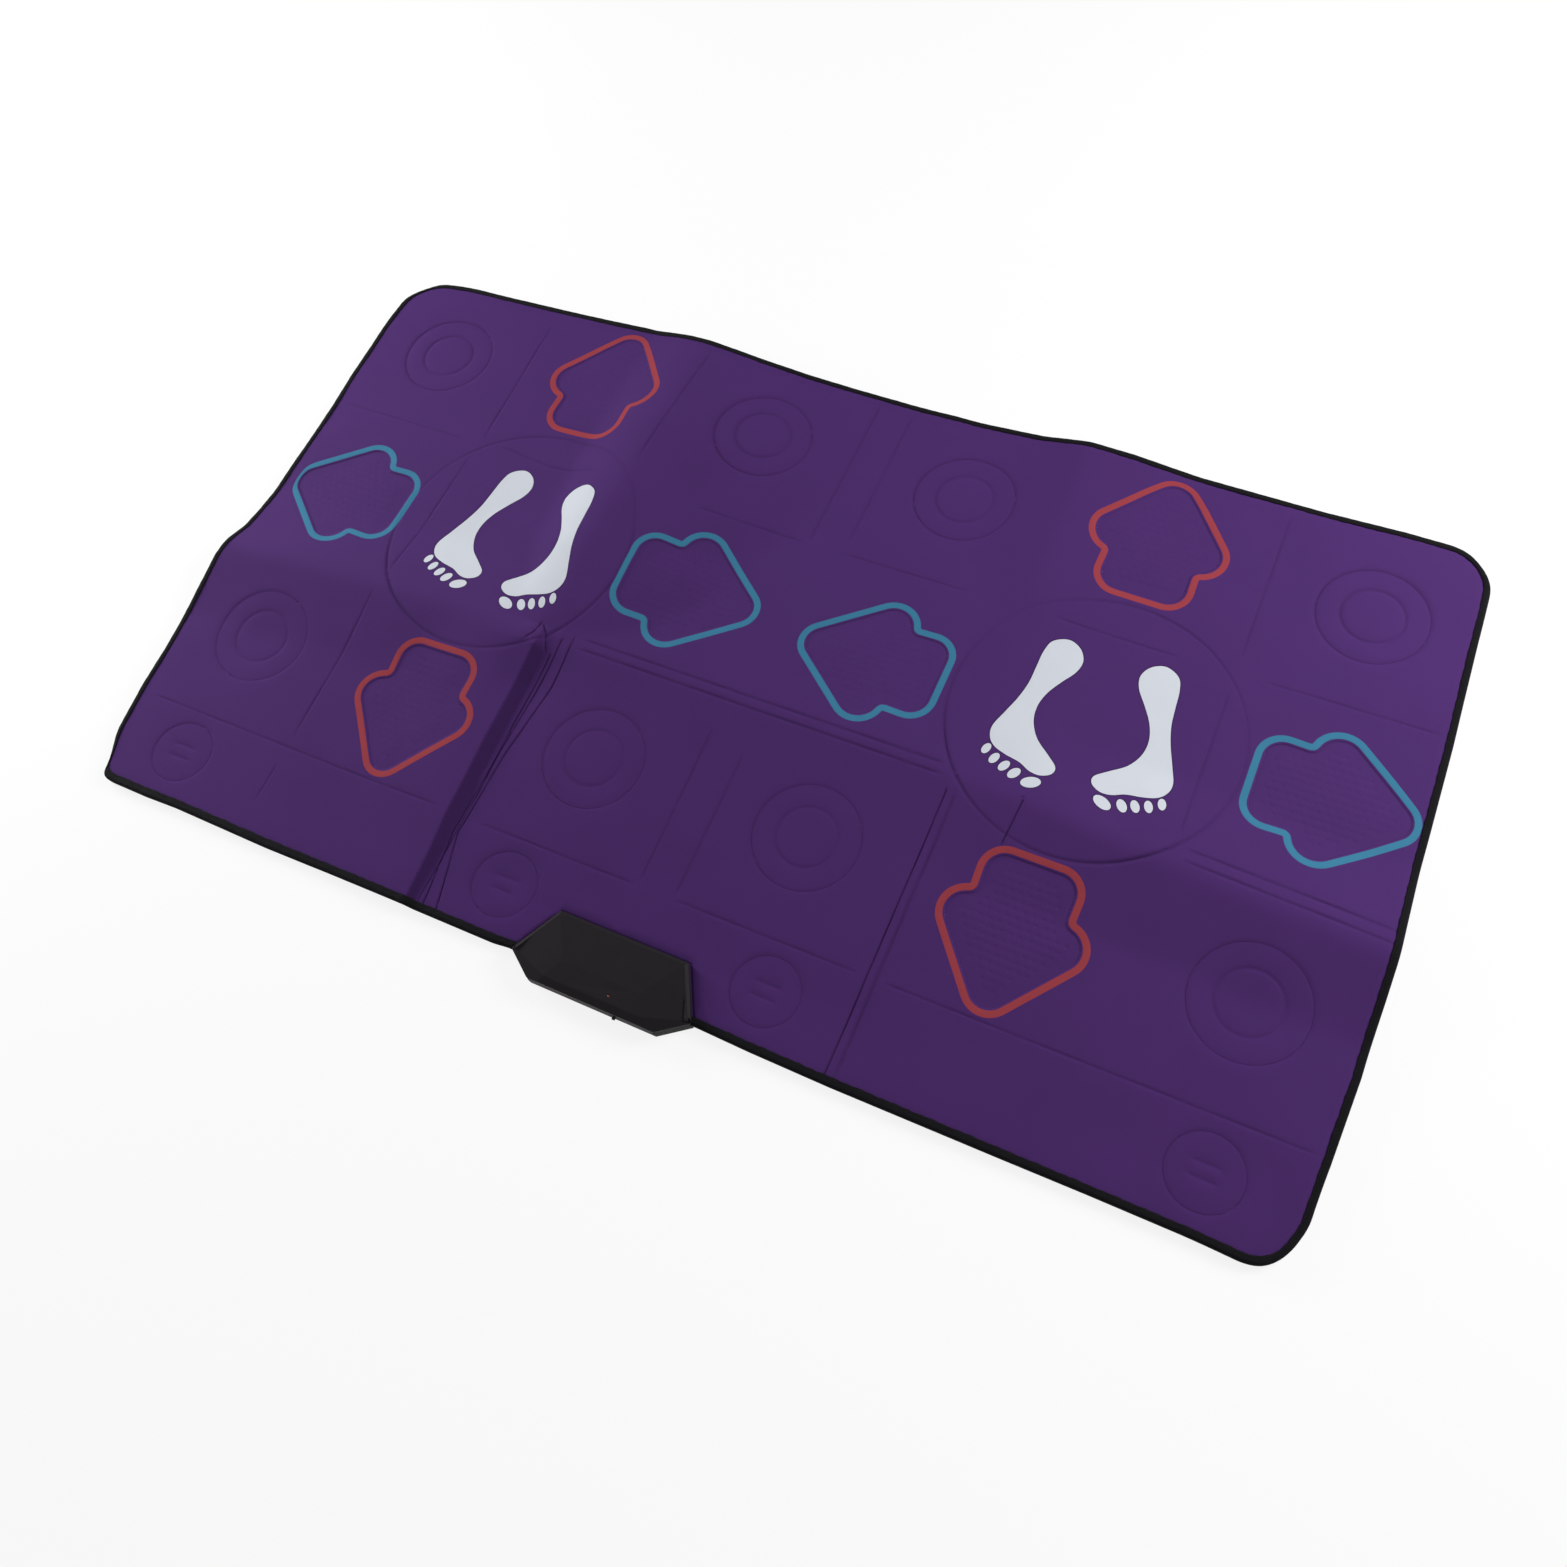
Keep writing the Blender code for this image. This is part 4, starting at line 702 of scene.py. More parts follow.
def coverPlan():
    plan = Plan()
    plan.loop("mat", outline(0))
    x0, x1, y0, y1 = openings["tail"]
    spacing = fine["loopSpacing"]
    plan.loop("opening", filled([(x0, y0), (x1, y0), (x1, y1), (x0, y1)], spacing))
    screwOpenings(plan)
    seamLines = seams(plan, fine["seam"][1])
    for name, place in arrowPlaces.items():
        for tag, inset in (("red" if place[2] % 2 == 0 else "blue", 0), ("bare", pads["band"]),
                           (name, pads["band"] + pads["margin"])):
            plan.loop(tag, arrowLoop(place, inset, spacing))
    for name, (x, y) in cornerPlaces.items():
        plan.loop(name, ring(x, y, pads["cornerRadius"], 90))
    for name, (x, y) in menuPlaces.items():
        plan.loop(name, ring(x, y, pads["menuRadius"], 64))
    for player, (px, py) in enumerate(pads["players"], 1):
        for mirrored in (False, True):
            for loop in footLoops(player, px, py, mirrored):
                plan.loop("white", loop)
                footRims.append(loop)
    for loop in footRims:
        plan.rows(loop, *fine["foot"], True)
    plan.rows(pressed["boxEdge"], *fine["box"])
    for place in arrowPlaces.values():
        for offset in fine["arrow"]:
            plan.free(arrowLoop(place, pads["band"] + pads["margin"] + offset, spacing), fine["apart"])
    for x, y, rings in ringed:
        for radius in rings:
            for offset in fine["ring"]:
                plan.free(ring(x, y, radius + offset, int(radius * fine["ringPoints"])), fine["apart"])
    for x, y in menuBars:
        reach = pads["barHalf"] + 0.002
        plan.rows([(x - reach, y), (x + reach, y)], *fine["bar"])
    for kind, lines in (("seam", seamLines), ("crease", pressed["creaseLines"]),
                        ("line", pressed["longLines"] + pressed["panelLines"])):
        for line in lines:
            plan.rows(line, *fine[kind])
    sx, sy = pressed["circleShift"]
    for px, py in pads["players"]:
        plan.rows(ring(px + sx, py + sy, pressed["circleRadius"], 220), *fine["circle"], True)
    for place in arrowPlaces.values():
        spots = [tuple(p) for p in dentPlaces(place)]
        plan.free(spots, fine["dentApart"])
        for radius in fine["dent"]:
            plan.free([q for x, y in spots for q in ring(x, y, radius, 6)], fine["dentApart"])
    for inset in fine["edge"]:
        plan.free(outline(inset), 0.001)
    plan.free(hexGrid(*fine["flank"]), fine["flankApart"])
    plan.free(hexGrid(-mat["halfX"], mat["halfX"], -mat["halfY"], mat["halfY"], mat["grid"]),
              fine["gridApart"], fine["gridBound"])
    return plan.mesh()


def quarterOf(x, y):
    return ("back" if y > mat["creaseLong"] else "front") + ("Left" if x < mat["seamX"] else "Right")


def boundaryLoops(faces):
    ahead = {}
    edges = {(int(f[k]), int(f[(k + 1) % 3])) for f in faces for k in range(3)}
    for a, b in edges:
        if (b, a) not in edges:
            ahead.setdefault(a, []).append(b)
    loops = []
    while ahead:
        start = next(iter(ahead))
        loop, here = [], start
        while True:
            loop.append(here)
            exits = ahead[here]
            after = exits.pop()
            if not exits:
                del ahead[here]
            here = after
            if here == start:
                break
        loops.append(loop)
    return loops


# The cloth bends here when the mat folds, so its underside is meshed more finely
bendZones = ((-0.330, -0.230), (0.240, 0.340))
bendPitch = 0.0075


def picked(points, faces):
    # only the points that these faces use
    used, faces = np.unique(faces, return_inverse=True)
    return points[used], faces.reshape(-1, 3)


def closedSheet(name, points, faces, paints, low, gridPitch, shrink):
    # padded cloth: the upper side as meshed, a wall round it and a coarser underside
    points, faces = picked(points, faces)
    loops = boundaryLoops(faces)
    moved = points.copy()
    if shrink:
        for loop in loops:
            moved[loop] = points[loop] + sideways(points[loop]) * shrink
    z = coverTop(points[:, 0], points[:, 1])
    rim = [i for loop in loops for i in loop]
    rimAt = {i: k for k, i in enumerate(rim)}
    flat = [tuple(moved[i]) for i in rim]
    lo, hi = moved.min(0), moved.max(0)
    loopIds, at = [], 0
    for loop in loops:
        loopIds.append(list(range(at, at + len(loop))))
        at += len(loop)

    def cellOf(p):
        return int(p[0] // gridPitch), int(p[1] // gridPitch)

    cells = {}
    for p in flat:
        cells.setdefault(cellOf(p), []).append(p)
    inner = []
    bends = [p for x0, x1 in bendZones
             for p in hexGrid(max(lo[0], x0), min(hi[0], x1), lo[1], hi[1], bendPitch)]
    for p in bends + hexGrid(lo[0], hi[0], lo[1], hi[1], gridPitch):
        pitch = bendPitch if any(x0 <= p[0] <= x1 for x0, x1 in bendZones) else gridPitch
        i, j = cellOf(p)
        if all(math.dist(p, q) > pitch * 0.5 for a in (-1, 0, 1) for b in (-1, 0, 1)
               for q in cells.get((i + a, j + b), ())):
            inner.append(p)
            cells.setdefault((i, j), []).append(p)
    verts, _, tris, origVerts, _, origFaces = delaunay_2d_cdt(
        [Vector(p) for p in flat + inner], [], loopIds, 1, 1e-8)
    areas = [sum(flat[a][0] * flat[b][1] - flat[b][0] * flat[a][1] for a, b in zip(ids, ids[1:] + ids[:1]))
             for ids in loopIds]
    outer = int(np.argmax(areas))
    tris = [t for t, kinds in zip(tris, origFaces) if set(kinds) == {outer}]
    lowFlat = np.array([tuple(v) for v in verts])
    lowOf = {}
    for j, sources in enumerate(origVerts):
        for s in sources:
            lowOf[s] = j
    n = len(points)
    lowZ = lift(lowFlat[:, 0], lowFlat[:, 1]) + low
    allPoints = np.concatenate([np.column_stack([moved, z]), np.column_stack([lowFlat, lowZ])])
    walls = []
    for loop in loops:
        for a, b in zip(loop, loop[1:] + loop[:1]):
            walls.append((b, a, n + lowOf[rimAt[a]], n + lowOf[rimAt[b]]))
    bottom = [tuple(n + k for k in reversed(t)) for t in tris]
    allFaces = [tuple(map(int, f)) for f in faces] + walls + bottom
    piece = makeMesh(name, allPoints, allFaces, list(paints) + [0] * (len(walls) + len(bottom)))
    # the painted shade map, one value per point of the upper side; the cloth materials darken their colour by
    # it
    shade = np.zeros(len(allPoints), np.float32)
    shade[:n] = paintedShade(points[:, 0], points[:, 1])
    piece.data.attributes.new("paintedShade", "FLOAT", "POINT").data.foreach_set("value", shade)
    return piece


def makeMesh(name, points, faces, paints, uv=None):
    # one piece: drawn in at the edges, moved to the frame's origin, with the flat cloth as its map
    mesh = bpy.data.meshes.new(name)
    flat = points[:, :2] if uv is None else uv
    placed = np.array(points, float)
    placed[:, 0], placed[:, 1] = pulled(placed[:, 0], placed[:, 1])
    placed[:, 1] += mat["shift"]
    mesh.from_pydata(placed.tolist(), [], faces)
    layer = mesh.uv_layers.new(name="cloth")
    corner = np.zeros(len(mesh.loops), np.int32)
    mesh.loops.foreach_get("vertex_index", corner)
    layer.data.foreach_set("uv", np.asarray(flat)[corner].astype(np.float32).ravel())
    mesh.polygons.foreach_set("material_index", np.array(paints, np.int32))
    mesh.polygons.foreach_set("use_smooth", np.ones(len(mesh.polygons), bool))
    mesh.set_sharp_from_angle(angle=math.radians(50))
    mesh.update()
    piece = bpy.data.objects.new(name, mesh)
    bpy.context.collection.objects.link(piece)
    return piece


# Where the cloth turns at a cross crease, from the middle outwards
bendRange = {"left": (-0.236, -0.324), "right": (0.245, 0.335)}


def rowAndSide(region):
    row = "back" if region.startswith("back") else "front"
    return row, region[len(row):].lower()


def follow(piece, region):
    # bakes the piece's placement into its mesh; a quarter's bend range is looked up but no bending is set up
    if region == "strip":
        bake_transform(piece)
    else:
        row, side = rowAndSide(region)
        x0, x1 = bendRange[side]
        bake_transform(piece)


def nodesOf(kind, region):
    # the CAD nodes that a piece of this layer stands for
    if region == "strip":
        return [f"{kind}_back_centre", f"{kind}_front_centre"]
    row, side = rowAndSide(region)
    return [f"{kind}_{row}_{side}", f"{kind}_{row}_centre"]


paintIndex = {"red": 1, "blue": 2, "white": 3}


def addCover():
    points, faces, tags = coverPlan()
    print("cover plan", len(points), "points", len(faces), "faces")
    middle = points[faces].mean(1)
    groups, paints = {}, {}
    for k, tag in enumerate(tags):
        if "opening" in tag:
            continue
        pad = next((t for t in tag if t.startswith("pad_")), None)
        region = pad or ("strip" if "strip" in tag else quarterOf(*middle[k]))
        colour = 0 if "bare" in tag else next((paintIndex[t] for t in tag if t in paintIndex), 0)
        groups.setdefault(region, []).append(k)
        paints.setdefault(region, []).append(colour)
    pieces = {}
    for region, members in sorted(groups.items()):
        isPad = region.startswith("pad_")
        name, low = (region, mat["padLow"]) if isPad else ("cover_" + region, mat["coverLow"])
        pieces[region] = closedSheet(name, points, faces[members], paints[region], low,
                                     fine["padPitch"] if isPad else fine["lowPitch"],
                                     pads["slit"] if isPad else 0.0)
    return pieces


coverPieces = addCover()
print("cover ready", sum(len(p.data.polygons) for p in coverPieces.values()), "faces")

# Layers under the cover, as quarters with a strip over the long crease
layers = {
    "base": {"inset": 0.0008, "pitch": 0.013, "rebate": 0.0011, "rebateWidth": 0.0090, "rebateStep": 0.0006,
             "pocketHalf": 0.0784, "pocketBack": -0.4066, "pocketTop": 0.0025, "pocketStep": 0.0003},
    "sensor": {"inset": 0.0035, "pitch": 0.013},
    "spacing": 0.008, "creaseZone": (-0.325, -0.225), "creaseApart": 0.0045, "apart": 0.0075, "bound": 0.007,
}


def layerPlan(kind):
    facts, spacing = layers[kind], layers["spacing"]
    halfX, halfY = mat["halfX"], mat["halfY"]
    plan = Plan()
    plan.loop("mat", outline(facts["inset"], spacing))
    seams(plan, spacing)
    screwOpenings(plan)
    if kind == "base":
        # the pocket for the box's clamp plate, and the rebate for the edge tape
        x, y0, y1 = facts["pocketHalf"], -halfY + facts["inset"] + 0.0006, facts["pocketBack"]
        for tag, grow in (("pocket", 0.0), ("pocketEdge", facts["pocketStep"])):
            left, right, front, back = -x - grow + mat["boxX"], x + grow + mat["boxX"], y0 - grow, y1 + grow
            plan.loop(tag, filled([(left, front), (right, front), (right, back), (left, back)], spacing))
        for inset in (facts["rebateWidth"], facts["rebateWidth"] + facts["rebateStep"]):
            plan.free(outline(inset, spacing), 0.0003, 0.0009)
    plan.free(hexGrid(*layers["creaseZone"], -halfY, halfY, spacing), layers["creaseApart"], layers["bound"])
    plan.free(hexGrid(-halfX, halfX, -halfY, halfY, facts["pitch"]), layers["apart"], layers["bound"])
    return plan.mesh()


def baseLow(x, y):
    facts = layers["base"]
    rebate = facts["rebate"] * (edgeDistance(x, y) < facts["rebateWidth"] + facts["rebateStep"] / 2)
    inPocket = (np.abs(x - mat["boxX"]) < facts["pocketHalf"] + 0.0001) & (y < facts["pocketBack"] + 0.0001)
    return lift(x, y) + np.where(inPocket, facts["pocketTop"], rebate)


def twoSided(name, points, faces, top, low):
    # both sides have the same mesh, so that what is pressed into the underside stays sharp
    points, faces = picked(points, faces)
    n = len(points)
    x, y = points[:, 0], points[:, 1]
    both = np.concatenate([np.column_stack([points, top(x, y)]), np.column_stack([points, low(x, y)])])
    walls = [(b, a, n + a, n + b) for loop in boundaryLoops(faces) for a, b in zip(loop, loop[1:] + loop[:1])]
    allFaces = [tuple(map(int, f)) for f in faces] + walls
    allFaces += [tuple(int(n + k) for k in f[::-1]) for f in faces]
    return makeMesh(name, both, allFaces, [0] * len(allFaces))


def addLayer(kind, top, low):
    points, faces, tags = layerPlan(kind)
    middle = points[faces].mean(1)
    groups = {}
    for k, tag in enumerate(tags):
        if "opening" not in tag:
            groups.setdefault("strip" if "strip" in tag else quarterOf(*middle[k]), []).append(k)
    return {region: twoSided(kind + "_" + region, points, faces[members], top, low)
            for region, members in sorted(groups.items())}


basePieces = addLayer("base", lambda x, y: lift(x, y) + mat["baseTop"], baseLow)
filmPieces = addLayer("sensor", lambda x, y: lift(x, y) + mat["filmTop"],
                      lambda x, y: lift(x, y) + mat["filmLow"])
print("base and film ready")

# Edge tape: widths, how far it stands out, and the stitches through it
tape = {
    "out": 0.0011, "width": 0.0084, "thick": 0.0008, "top": 0.0117, "step": 0.004, "plateHalf": 0.0790,
    "stitchInset": 0.0068, "stitchPitch": 0.0042, "stitchLength": 0.0029, "stitchRadius": 0.00032,
    "stitchLevel": 0.01175, "stitchGap": 0.13, "frontStrip": -0.4,
}


def sectionAt(index, overPlate=False):
    # pairs of inset and height, outside first; the tape puckers slightly along its stitching
    wave = 0.00012 * math.sin(index * 1.7) + 0.00010 * math.sin(index * 0.61)
    w, t = tape["width"] + 2 * wave, tape["thick"]
    top = tape["top"] + wave
    outer = [(w, top - 0.00015), (w - 0.0004, top + 0.0001), (0.0034, top), (0.0018, top - 0.0001),
             (0.0004, top - 0.0007), (-0.0006, 0.0095), (-tape["out"], 0.0072), (-tape["out"], 0.0038),
             (-0.0007, 0.0014), (0.0002, 0.0004), (0.0016, 0.00005), (w, 0.00005)]
    inner = [(w, t), (0.0018, t + 0.00005), (0.0003, 0.0018), (-0.0002, 0.0040), (-0.0002, 0.0070),
             (0.0003, 0.0092), (0.0010, top - 0.0013), (0.0020, top - 0.0010), (w, top - 0.0009)]
    if overPlate:
        # cut short over the box's clamp plate
        outer[8:] = [(-0.0010, 0.0033), (-0.0009, 0.0030), (-0.00075, 0.0028), (-0.0006, 0.0027)]
        inner[:3] = [(-0.00045, 0.0027), (-0.0003, 0.0028), (-0.0002, 0.0031)]
    return outer + inner


def tube(count, sides):
    # the faces of a closed tube: one ring of points after another
    faces = []
    for s in range(count - 1):
        for i in range(sides):
            a, b = s * sides + i, s * sides + (i + 1) % sides
            faces.append((a, b, b + sides, a + sides))
    return faces + [tuple(reversed(range(sides))), tuple(range((count - 1) * sides, count * sides))]


def liftAt(x, y):
    return float(lift(np.array(x), np.array(y)))


def addBinding():
    path = np.array(outline(0, tape["step"]))
    normal = sideways(path)
    run = np.concatenate([[0], np.cumsum(np.linalg.norm(np.diff(path, axis=0), axis=1))])
    quarters = {}
    n = len(path)
    for k in range(n):
        x, y = path[k] * 0.5 + path[(k + 1) % n] * 0.5
        quarters.setdefault(quarterOf(x, y), []).append(k)
    pieces = {}
    for region, members in quarters.items():
        # one unbroken run of steps
        start = next(k for k in members if (k - 1) % n not in members)
        stations = [(start + i) % n for i in range(len(members) + 1)]
        places = [path[k].copy() for k in stations]
        for end in (0, -1):
            snap = places[end]
            if abs(abs(snap[0]) - mat["halfX"]) < 1e-6:
                snap[1] = mat["creaseLong"]
            else:
                snap[0] = mat["seamX"]
        points, uv = [], []
        for place, k in zip(places, stations):
            overPlate = abs(place[0] - mat["boxX"]) < tape["plateHalf"] and place[1] < tape["frontStrip"]
            section = sectionAt(k, overPlate)
            acrossTape = 0.0
            for i, (inset, z) in enumerate(section):
                px, py = place + normal[k] * inset
                points.append((px, py, z + liftAt(px, py)))
                uv.append((run[k], acrossTape))
                acrossTape += math.dist(section[i], section[(i + 1) % len(section)])
        faces = tube(len(stations), len(section))
        pieces[region] = makeMesh("binding_" + region, np.array(points), faces, [0] * len(faces),
                                  np.array(uv))
    return pieces


def stitchShape(sides=6):
    # one stitch along X: a thread that rises from the tape and goes back into it
    h, r = tape["stitchLength"] / 2, tape["stitchRadius"]
    sections = [(-h, -0.0006, 0.7), (-0.8 * h, 0.00005, 0.95), (-0.35 * h, 0.00022, 1.0),
                (0.35 * h, 0.00022, 1.0), (0.8 * h, 0.00005, 0.95), (h, -0.0006, 0.7)]
    points = []
    for x, z, share in sections:
        for k in range(sides):
            a = 2 * math.pi * k / sides
            points.append((x, r * share * math.cos(a), z + r * share * math.sin(a)))
    return np.array(points), tube(len(sections), sides)


def addStitches():
    line = np.array(outline(tape["stitchInset"], 0.002))
    step = np.linalg.norm(np.roll(line, -1, 0) - line, axis=1)
    run = np.concatenate([[0], np.cumsum(step)])
    closed = np.concatenate([line, line[:1]])
    count = int(run[-1] / tape["stitchPitch"])
    shape, shapeFaces = stitchShape()

    def pointAt(s):
        return np.interp(s, run, closed[:, 0]), np.interp(s, run, closed[:, 1])

    groups = {}
    for k in range(count):
        s = (k + 0.5) * run[-1] / count
        x, y = pointAt(s)
        if abs(x - mat["boxX"]) < tape["stitchGap"] and y < tape["frontStrip"]:
            continue                        # the box covers these
        aheadX, aheadY = pointAt(s + 0.001)
        ax, ay = aheadX - x, aheadY - y
        length = math.hypot(ax, ay) or 1
        ax, ay = ax / length, ay / length
        points = groups.setdefault(quarterOf(x, y), [[], []])
        z = liftAt(x, y) + tape["stitchLevel"]
        slope = (liftAt(x + 0.002 * ax, y + 0.002 * ay) + tape["stitchLevel"] - z) / 0.002
        base = len(points[0])
        for u, v, w in shape:
            points[0].append((x + u * ax - v * ay, y + u * ay + v * ax, z + w + u * slope))
        points[1] += [tuple(base + i for i in f) for f in shapeFaces]
    return {region: makeMesh("stitches_" + region, np.array(points), faces, [0] * len(faces))
            for region, (points, faces) in groups.items()}


bindingPieces = addBinding()
stitchPieces = addStitches()
print("edge tape ready")

# Control box: half widths and places from back to front in the mat's plane, facets as in the photograph
case = {
    "backHalf": 0.0880, "tipHalf": 0.1230, "frontHalf": 0.0860,
    "back": -0.4010, "tip": -0.4664, "front": -0.4930,
    "low": 0.0113, "frontLow": 0.0124, "stepBack": -0.4560, "top": 0.0250,
    "flatBack": (0.0530, -0.4580), "flatFront": (0.0660, -0.4830),
    "shoulder": 0.0207, "facetTip": (0.1155, -0.4655), "frontEdge": 0.0222, "frontCorner": 0.0200,
    "chamfer": 0.0045, "chamferDrop": 0.0038, "lean": 0.0009,
    "cornerRound": 0.0042, "edgeRound": 0.0006, "wall": 0.0018,
    "lamp": (0.019, -0.4750), "lampHole": 0.0018, "lampRim": 0.0026,
    "bosses": ((-0.0550, -0.4205), (0.0550, -0.4205)), "boss": 0.0036, "bossHole": 0.0016,
    "bossDepth": 0.0155, "roofHeight": 0.0208, "roofSlope": 0.0789,    # of the roof over the bosses
}


def spot(x, y, z):
    return Vector((mat["boxX"] + x, y + mat["shift"], z))


def startPiece(add, name, **values):
    bpy.ops.object.select_all(action="DESELECT")
    add(**values)
    piece = bpy.context.object
    piece.name = piece.data.name = name
    bpy.ops.object.transform_apply(location=True, rotation=True, scale=True)
    return piece


def only(piece):
    bpy.ops.object.select_all(action="DESELECT")
    bpy.context.view_layer.objects.active = piece
    piece.select_set(True)


def applied(piece, kind, **values):
    only(piece)
    modifier = piece.modifiers.new(kind.lower(), kind)
    for name, value in values.items():
        setattr(modifier, name, value)
    bpy.ops.object.modifier_apply(modifier=modifier.name)


def carved(piece, tool, operation="DIFFERENCE"):
    applied(piece, "BOOLEAN", object=tool, operation=operation, solver="EXACT")
    bpy.data.meshes.remove(tool.data)


def drilled(piece, name, place, radius, depth, sides, operation="DIFFERENCE"):
    carved(piece, startPiece(bpy.ops.mesh.primitive_cylinder_add, name, vertices=sides, radius=radius,
                             depth=depth, location=place), operation)


def caseCuts():
    # the planes of the case, each by three points
    c = case
    low, top, lean = c["low"], c["top"], c["lean"]
    corners = [(-c["frontHalf"], c["front"]), (c["frontHalf"], c["front"]), (c["tipHalf"], c["tip"]),
               (c["backHalf"], c["back"]), (-c["backHalf"], c["back"]), (-c["tipHalf"], c["tip"])]
    cuts = []
    for k, a in enumerate(corners):
        b = corners[(k + 1) % 6]
        inward = Vector((a[1] - b[1], b[0] - a[0])).normalized()
        cuts.append((spot(*a, low), spot(*b, low), spot(a[0] + inward.x * lean, a[1] + inward.y * lean, top)))
        if k in (2, 3, 4):
            run, drop, high = c["chamfer"], c["chamferDrop"], c["shoulder"]
            moved = [(p[0] + inward.x * run, p[1] + inward.y * run) for p in (a, b)]
            cuts.append((spot(*moved[0], high), spot(*moved[1], high), spot(*a, high - drop)))
    (mx, my), (nx, ny), (tx, ty) = c["flatBack"], c["flatFront"], c["facetTip"]
    cuts.append((spot(-mx, my, top), spot(mx, my, top), spot(0, c["back"] - c["chamfer"], c["shoulder"])))
    cuts.append((spot(-nx, ny, top), spot(nx, ny, top), spot(0, c["front"], c["frontEdge"])))
    for side in (-1, 1):
        facetTip = spot(side * tx, ty, c["shoulder"])
        cuts.append((spot(side * mx, my, top), spot(side * nx, ny, top), facetTip))
        frontCorner = spot(side * c["frontHalf"], c["front"], c["frontCorner"])
        cuts.append((spot(side * nx, ny, top), facetTip, frontCorner))
    return cuts


def addCaseTop():
    c = case
    middle = spot(0, (c["back"] + c["front"]) / 2, (c["low"] + c["top"]) / 2)
    piece = startPiece(bpy.ops.mesh.primitive_cube_add, "case_top", size=1, location=middle,
                       scale=(2 * c["tipHalf"], c["back"] - c["front"], c["top"] - c["low"]))
    bpy.ops.object.mode_set(mode="EDIT")
    heart = spot(0, -0.455, 0.013)         # a point inside the case
    for a, b, d in caseCuts():
        normal = (b - a).cross(d - a).normalized()
        if normal.dot(heart - a) > 0:
            normal.negate()
        bpy.ops.mesh.select_all(action="SELECT")
        bpy.ops.mesh.bisect(plane_co=a, plane_no=normal, use_fill=True, clear_outer=True)
    bpy.ops.mesh.select_all(action="SELECT")
    bpy.ops.mesh.remove_doubles(threshold=0.00005)
    bpy.ops.mesh.select_all(action="DESELECT")
    bpy.ops.object.mode_set(mode="OBJECT")
    # the underside stays open
    for polygon in piece.data.polygons:
        polygon.select = polygon.normal.z < -0.9
    bpy.ops.object.mode_set(mode="EDIT")
    bpy.ops.mesh.select_mode(type="FACE")
    bpy.ops.mesh.delete(type="FACE")
    bpy.ops.object.mode_set(mode="OBJECT")
    # rounded corners where the walls meet, fine rounding on every other edge
    mesh = piece.data
    weights = mesh.attributes.new("bevel_weight_edge", "FLOAT", "EDGE")
    for edge, weight in zip(mesh.edges, weights.data):
        a, b = (mesh.vertices[k].co for k in edge.vertices)
        upright = abs(b.z - a.z) > 0.8 * (b - a).length
        atRim = max(a.z, b.z) < c["low"] + 0.0001
        weight.value = 0.0 if atRim else 1.0 if upright else c["edgeRound"] / c["cornerRound"]
    applied(piece, "BEVEL", width=c["cornerRound"], segments=3, limit_method="WEIGHT")
    applied(piece, "SOLIDIFY", thickness=c["wall"], offset=-1.0, use_even_offset=True)
    for x, y in c["bosses"]:
        roof = c["roofHeight"] + c["roofSlope"] * (c["back"] - c["chamfer"] - y) - c["wall"] / 2
        drilled(piece, "boss", spot(x, y, (c["low"] + roof) / 2), c["boss"], roof - c["low"], 24, "UNION")
        drilled(piece, "bossHole", spot(x, y, c["low"]), c["bossHole"], c["bossDepth"], 16)
    step = startPiece(bpy.ops.mesh.primitive_cube_add, "rimStep", size=1, scale=(0.3, 0.1, 0.01),
                      location=spot(0, c["stepBack"] - 0.05, c["frontLow"] - 0.005))
    carved(piece, step)
    x, y = c["lamp"]
    drilled(piece, "lampHole", spot(x, y, c["top"]), c["lampHole"], 0.012, 32)
    rim = startPiece(bpy.ops.mesh.primitive_cone_add, "lampRim", vertices=32, radius1=c["lampHole"] - 0.0003,
                     radius2=c["lampRim"], depth=0.0010, location=spot(x, y, c["top"] - 0.0003))
    carved(piece, rim)
    only(piece)
    bpy.ops.object.shade_smooth()
    applied(piece, "WEIGHTED_NORMAL", mode="FACE_AREA", weight=100, keep_sharp=True)
    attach(piece, "front_centre_panel")
    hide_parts("box_top_shell")
    return piece


# Switch lever: a ridged nub on the box's front
lever = {"ridges": 5, "ridgeDepth": 0.00028, "round": 0.00022, "face": 0.0006, "plainEnd": 0.0003}


def addLever():
    low, high = (Vector(p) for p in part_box("switch_lever"))
    size = high - low
    piece = startPiece(bpy.ops.mesh.primitive_cube_add, "lever_nub", size=1, location=(low + high) / 2,
                       scale=size)
    applied(piece, "BEVEL", width=lever["round"], segments=2, limit_method="ANGLE")
    bpy.ops.object.mode_set(mode="EDIT")
    cuts = 2 * lever["ridges"]
    for k in range(1, cuts):
        bpy.ops.mesh.select_all(action="SELECT")
        x = low.x + lever["round"] + (size.x - 2 * lever["round"]) * k / cuts
        bpy.ops.mesh.bisect(plane_co=(x, low.y, low.z), plane_no=(1, 0, 0))
    bpy.ops.mesh.select_all(action="DESELECT")
    bpy.ops.object.mode_set(mode="OBJECT")
    for vertex in piece.data.vertices:
        step = round((vertex.co.x - low.x - lever["round"]) / (size.x - 2 * lever["round"]) * cuts)
        between = low.x + lever["plainEnd"] < vertex.co.x < high.x - lever["plainEnd"]
        if vertex.co.y < low.y + lever["face"] and step % 2 == 1 and between:
            vertex.co.y += lever["ridgeDepth"]
    only(piece)
    bpy.ops.object.shade_smooth_by_angle(angle=math.radians(35))
    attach(piece, "power_switch_lever")
    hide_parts("switch_lever")
    return piece


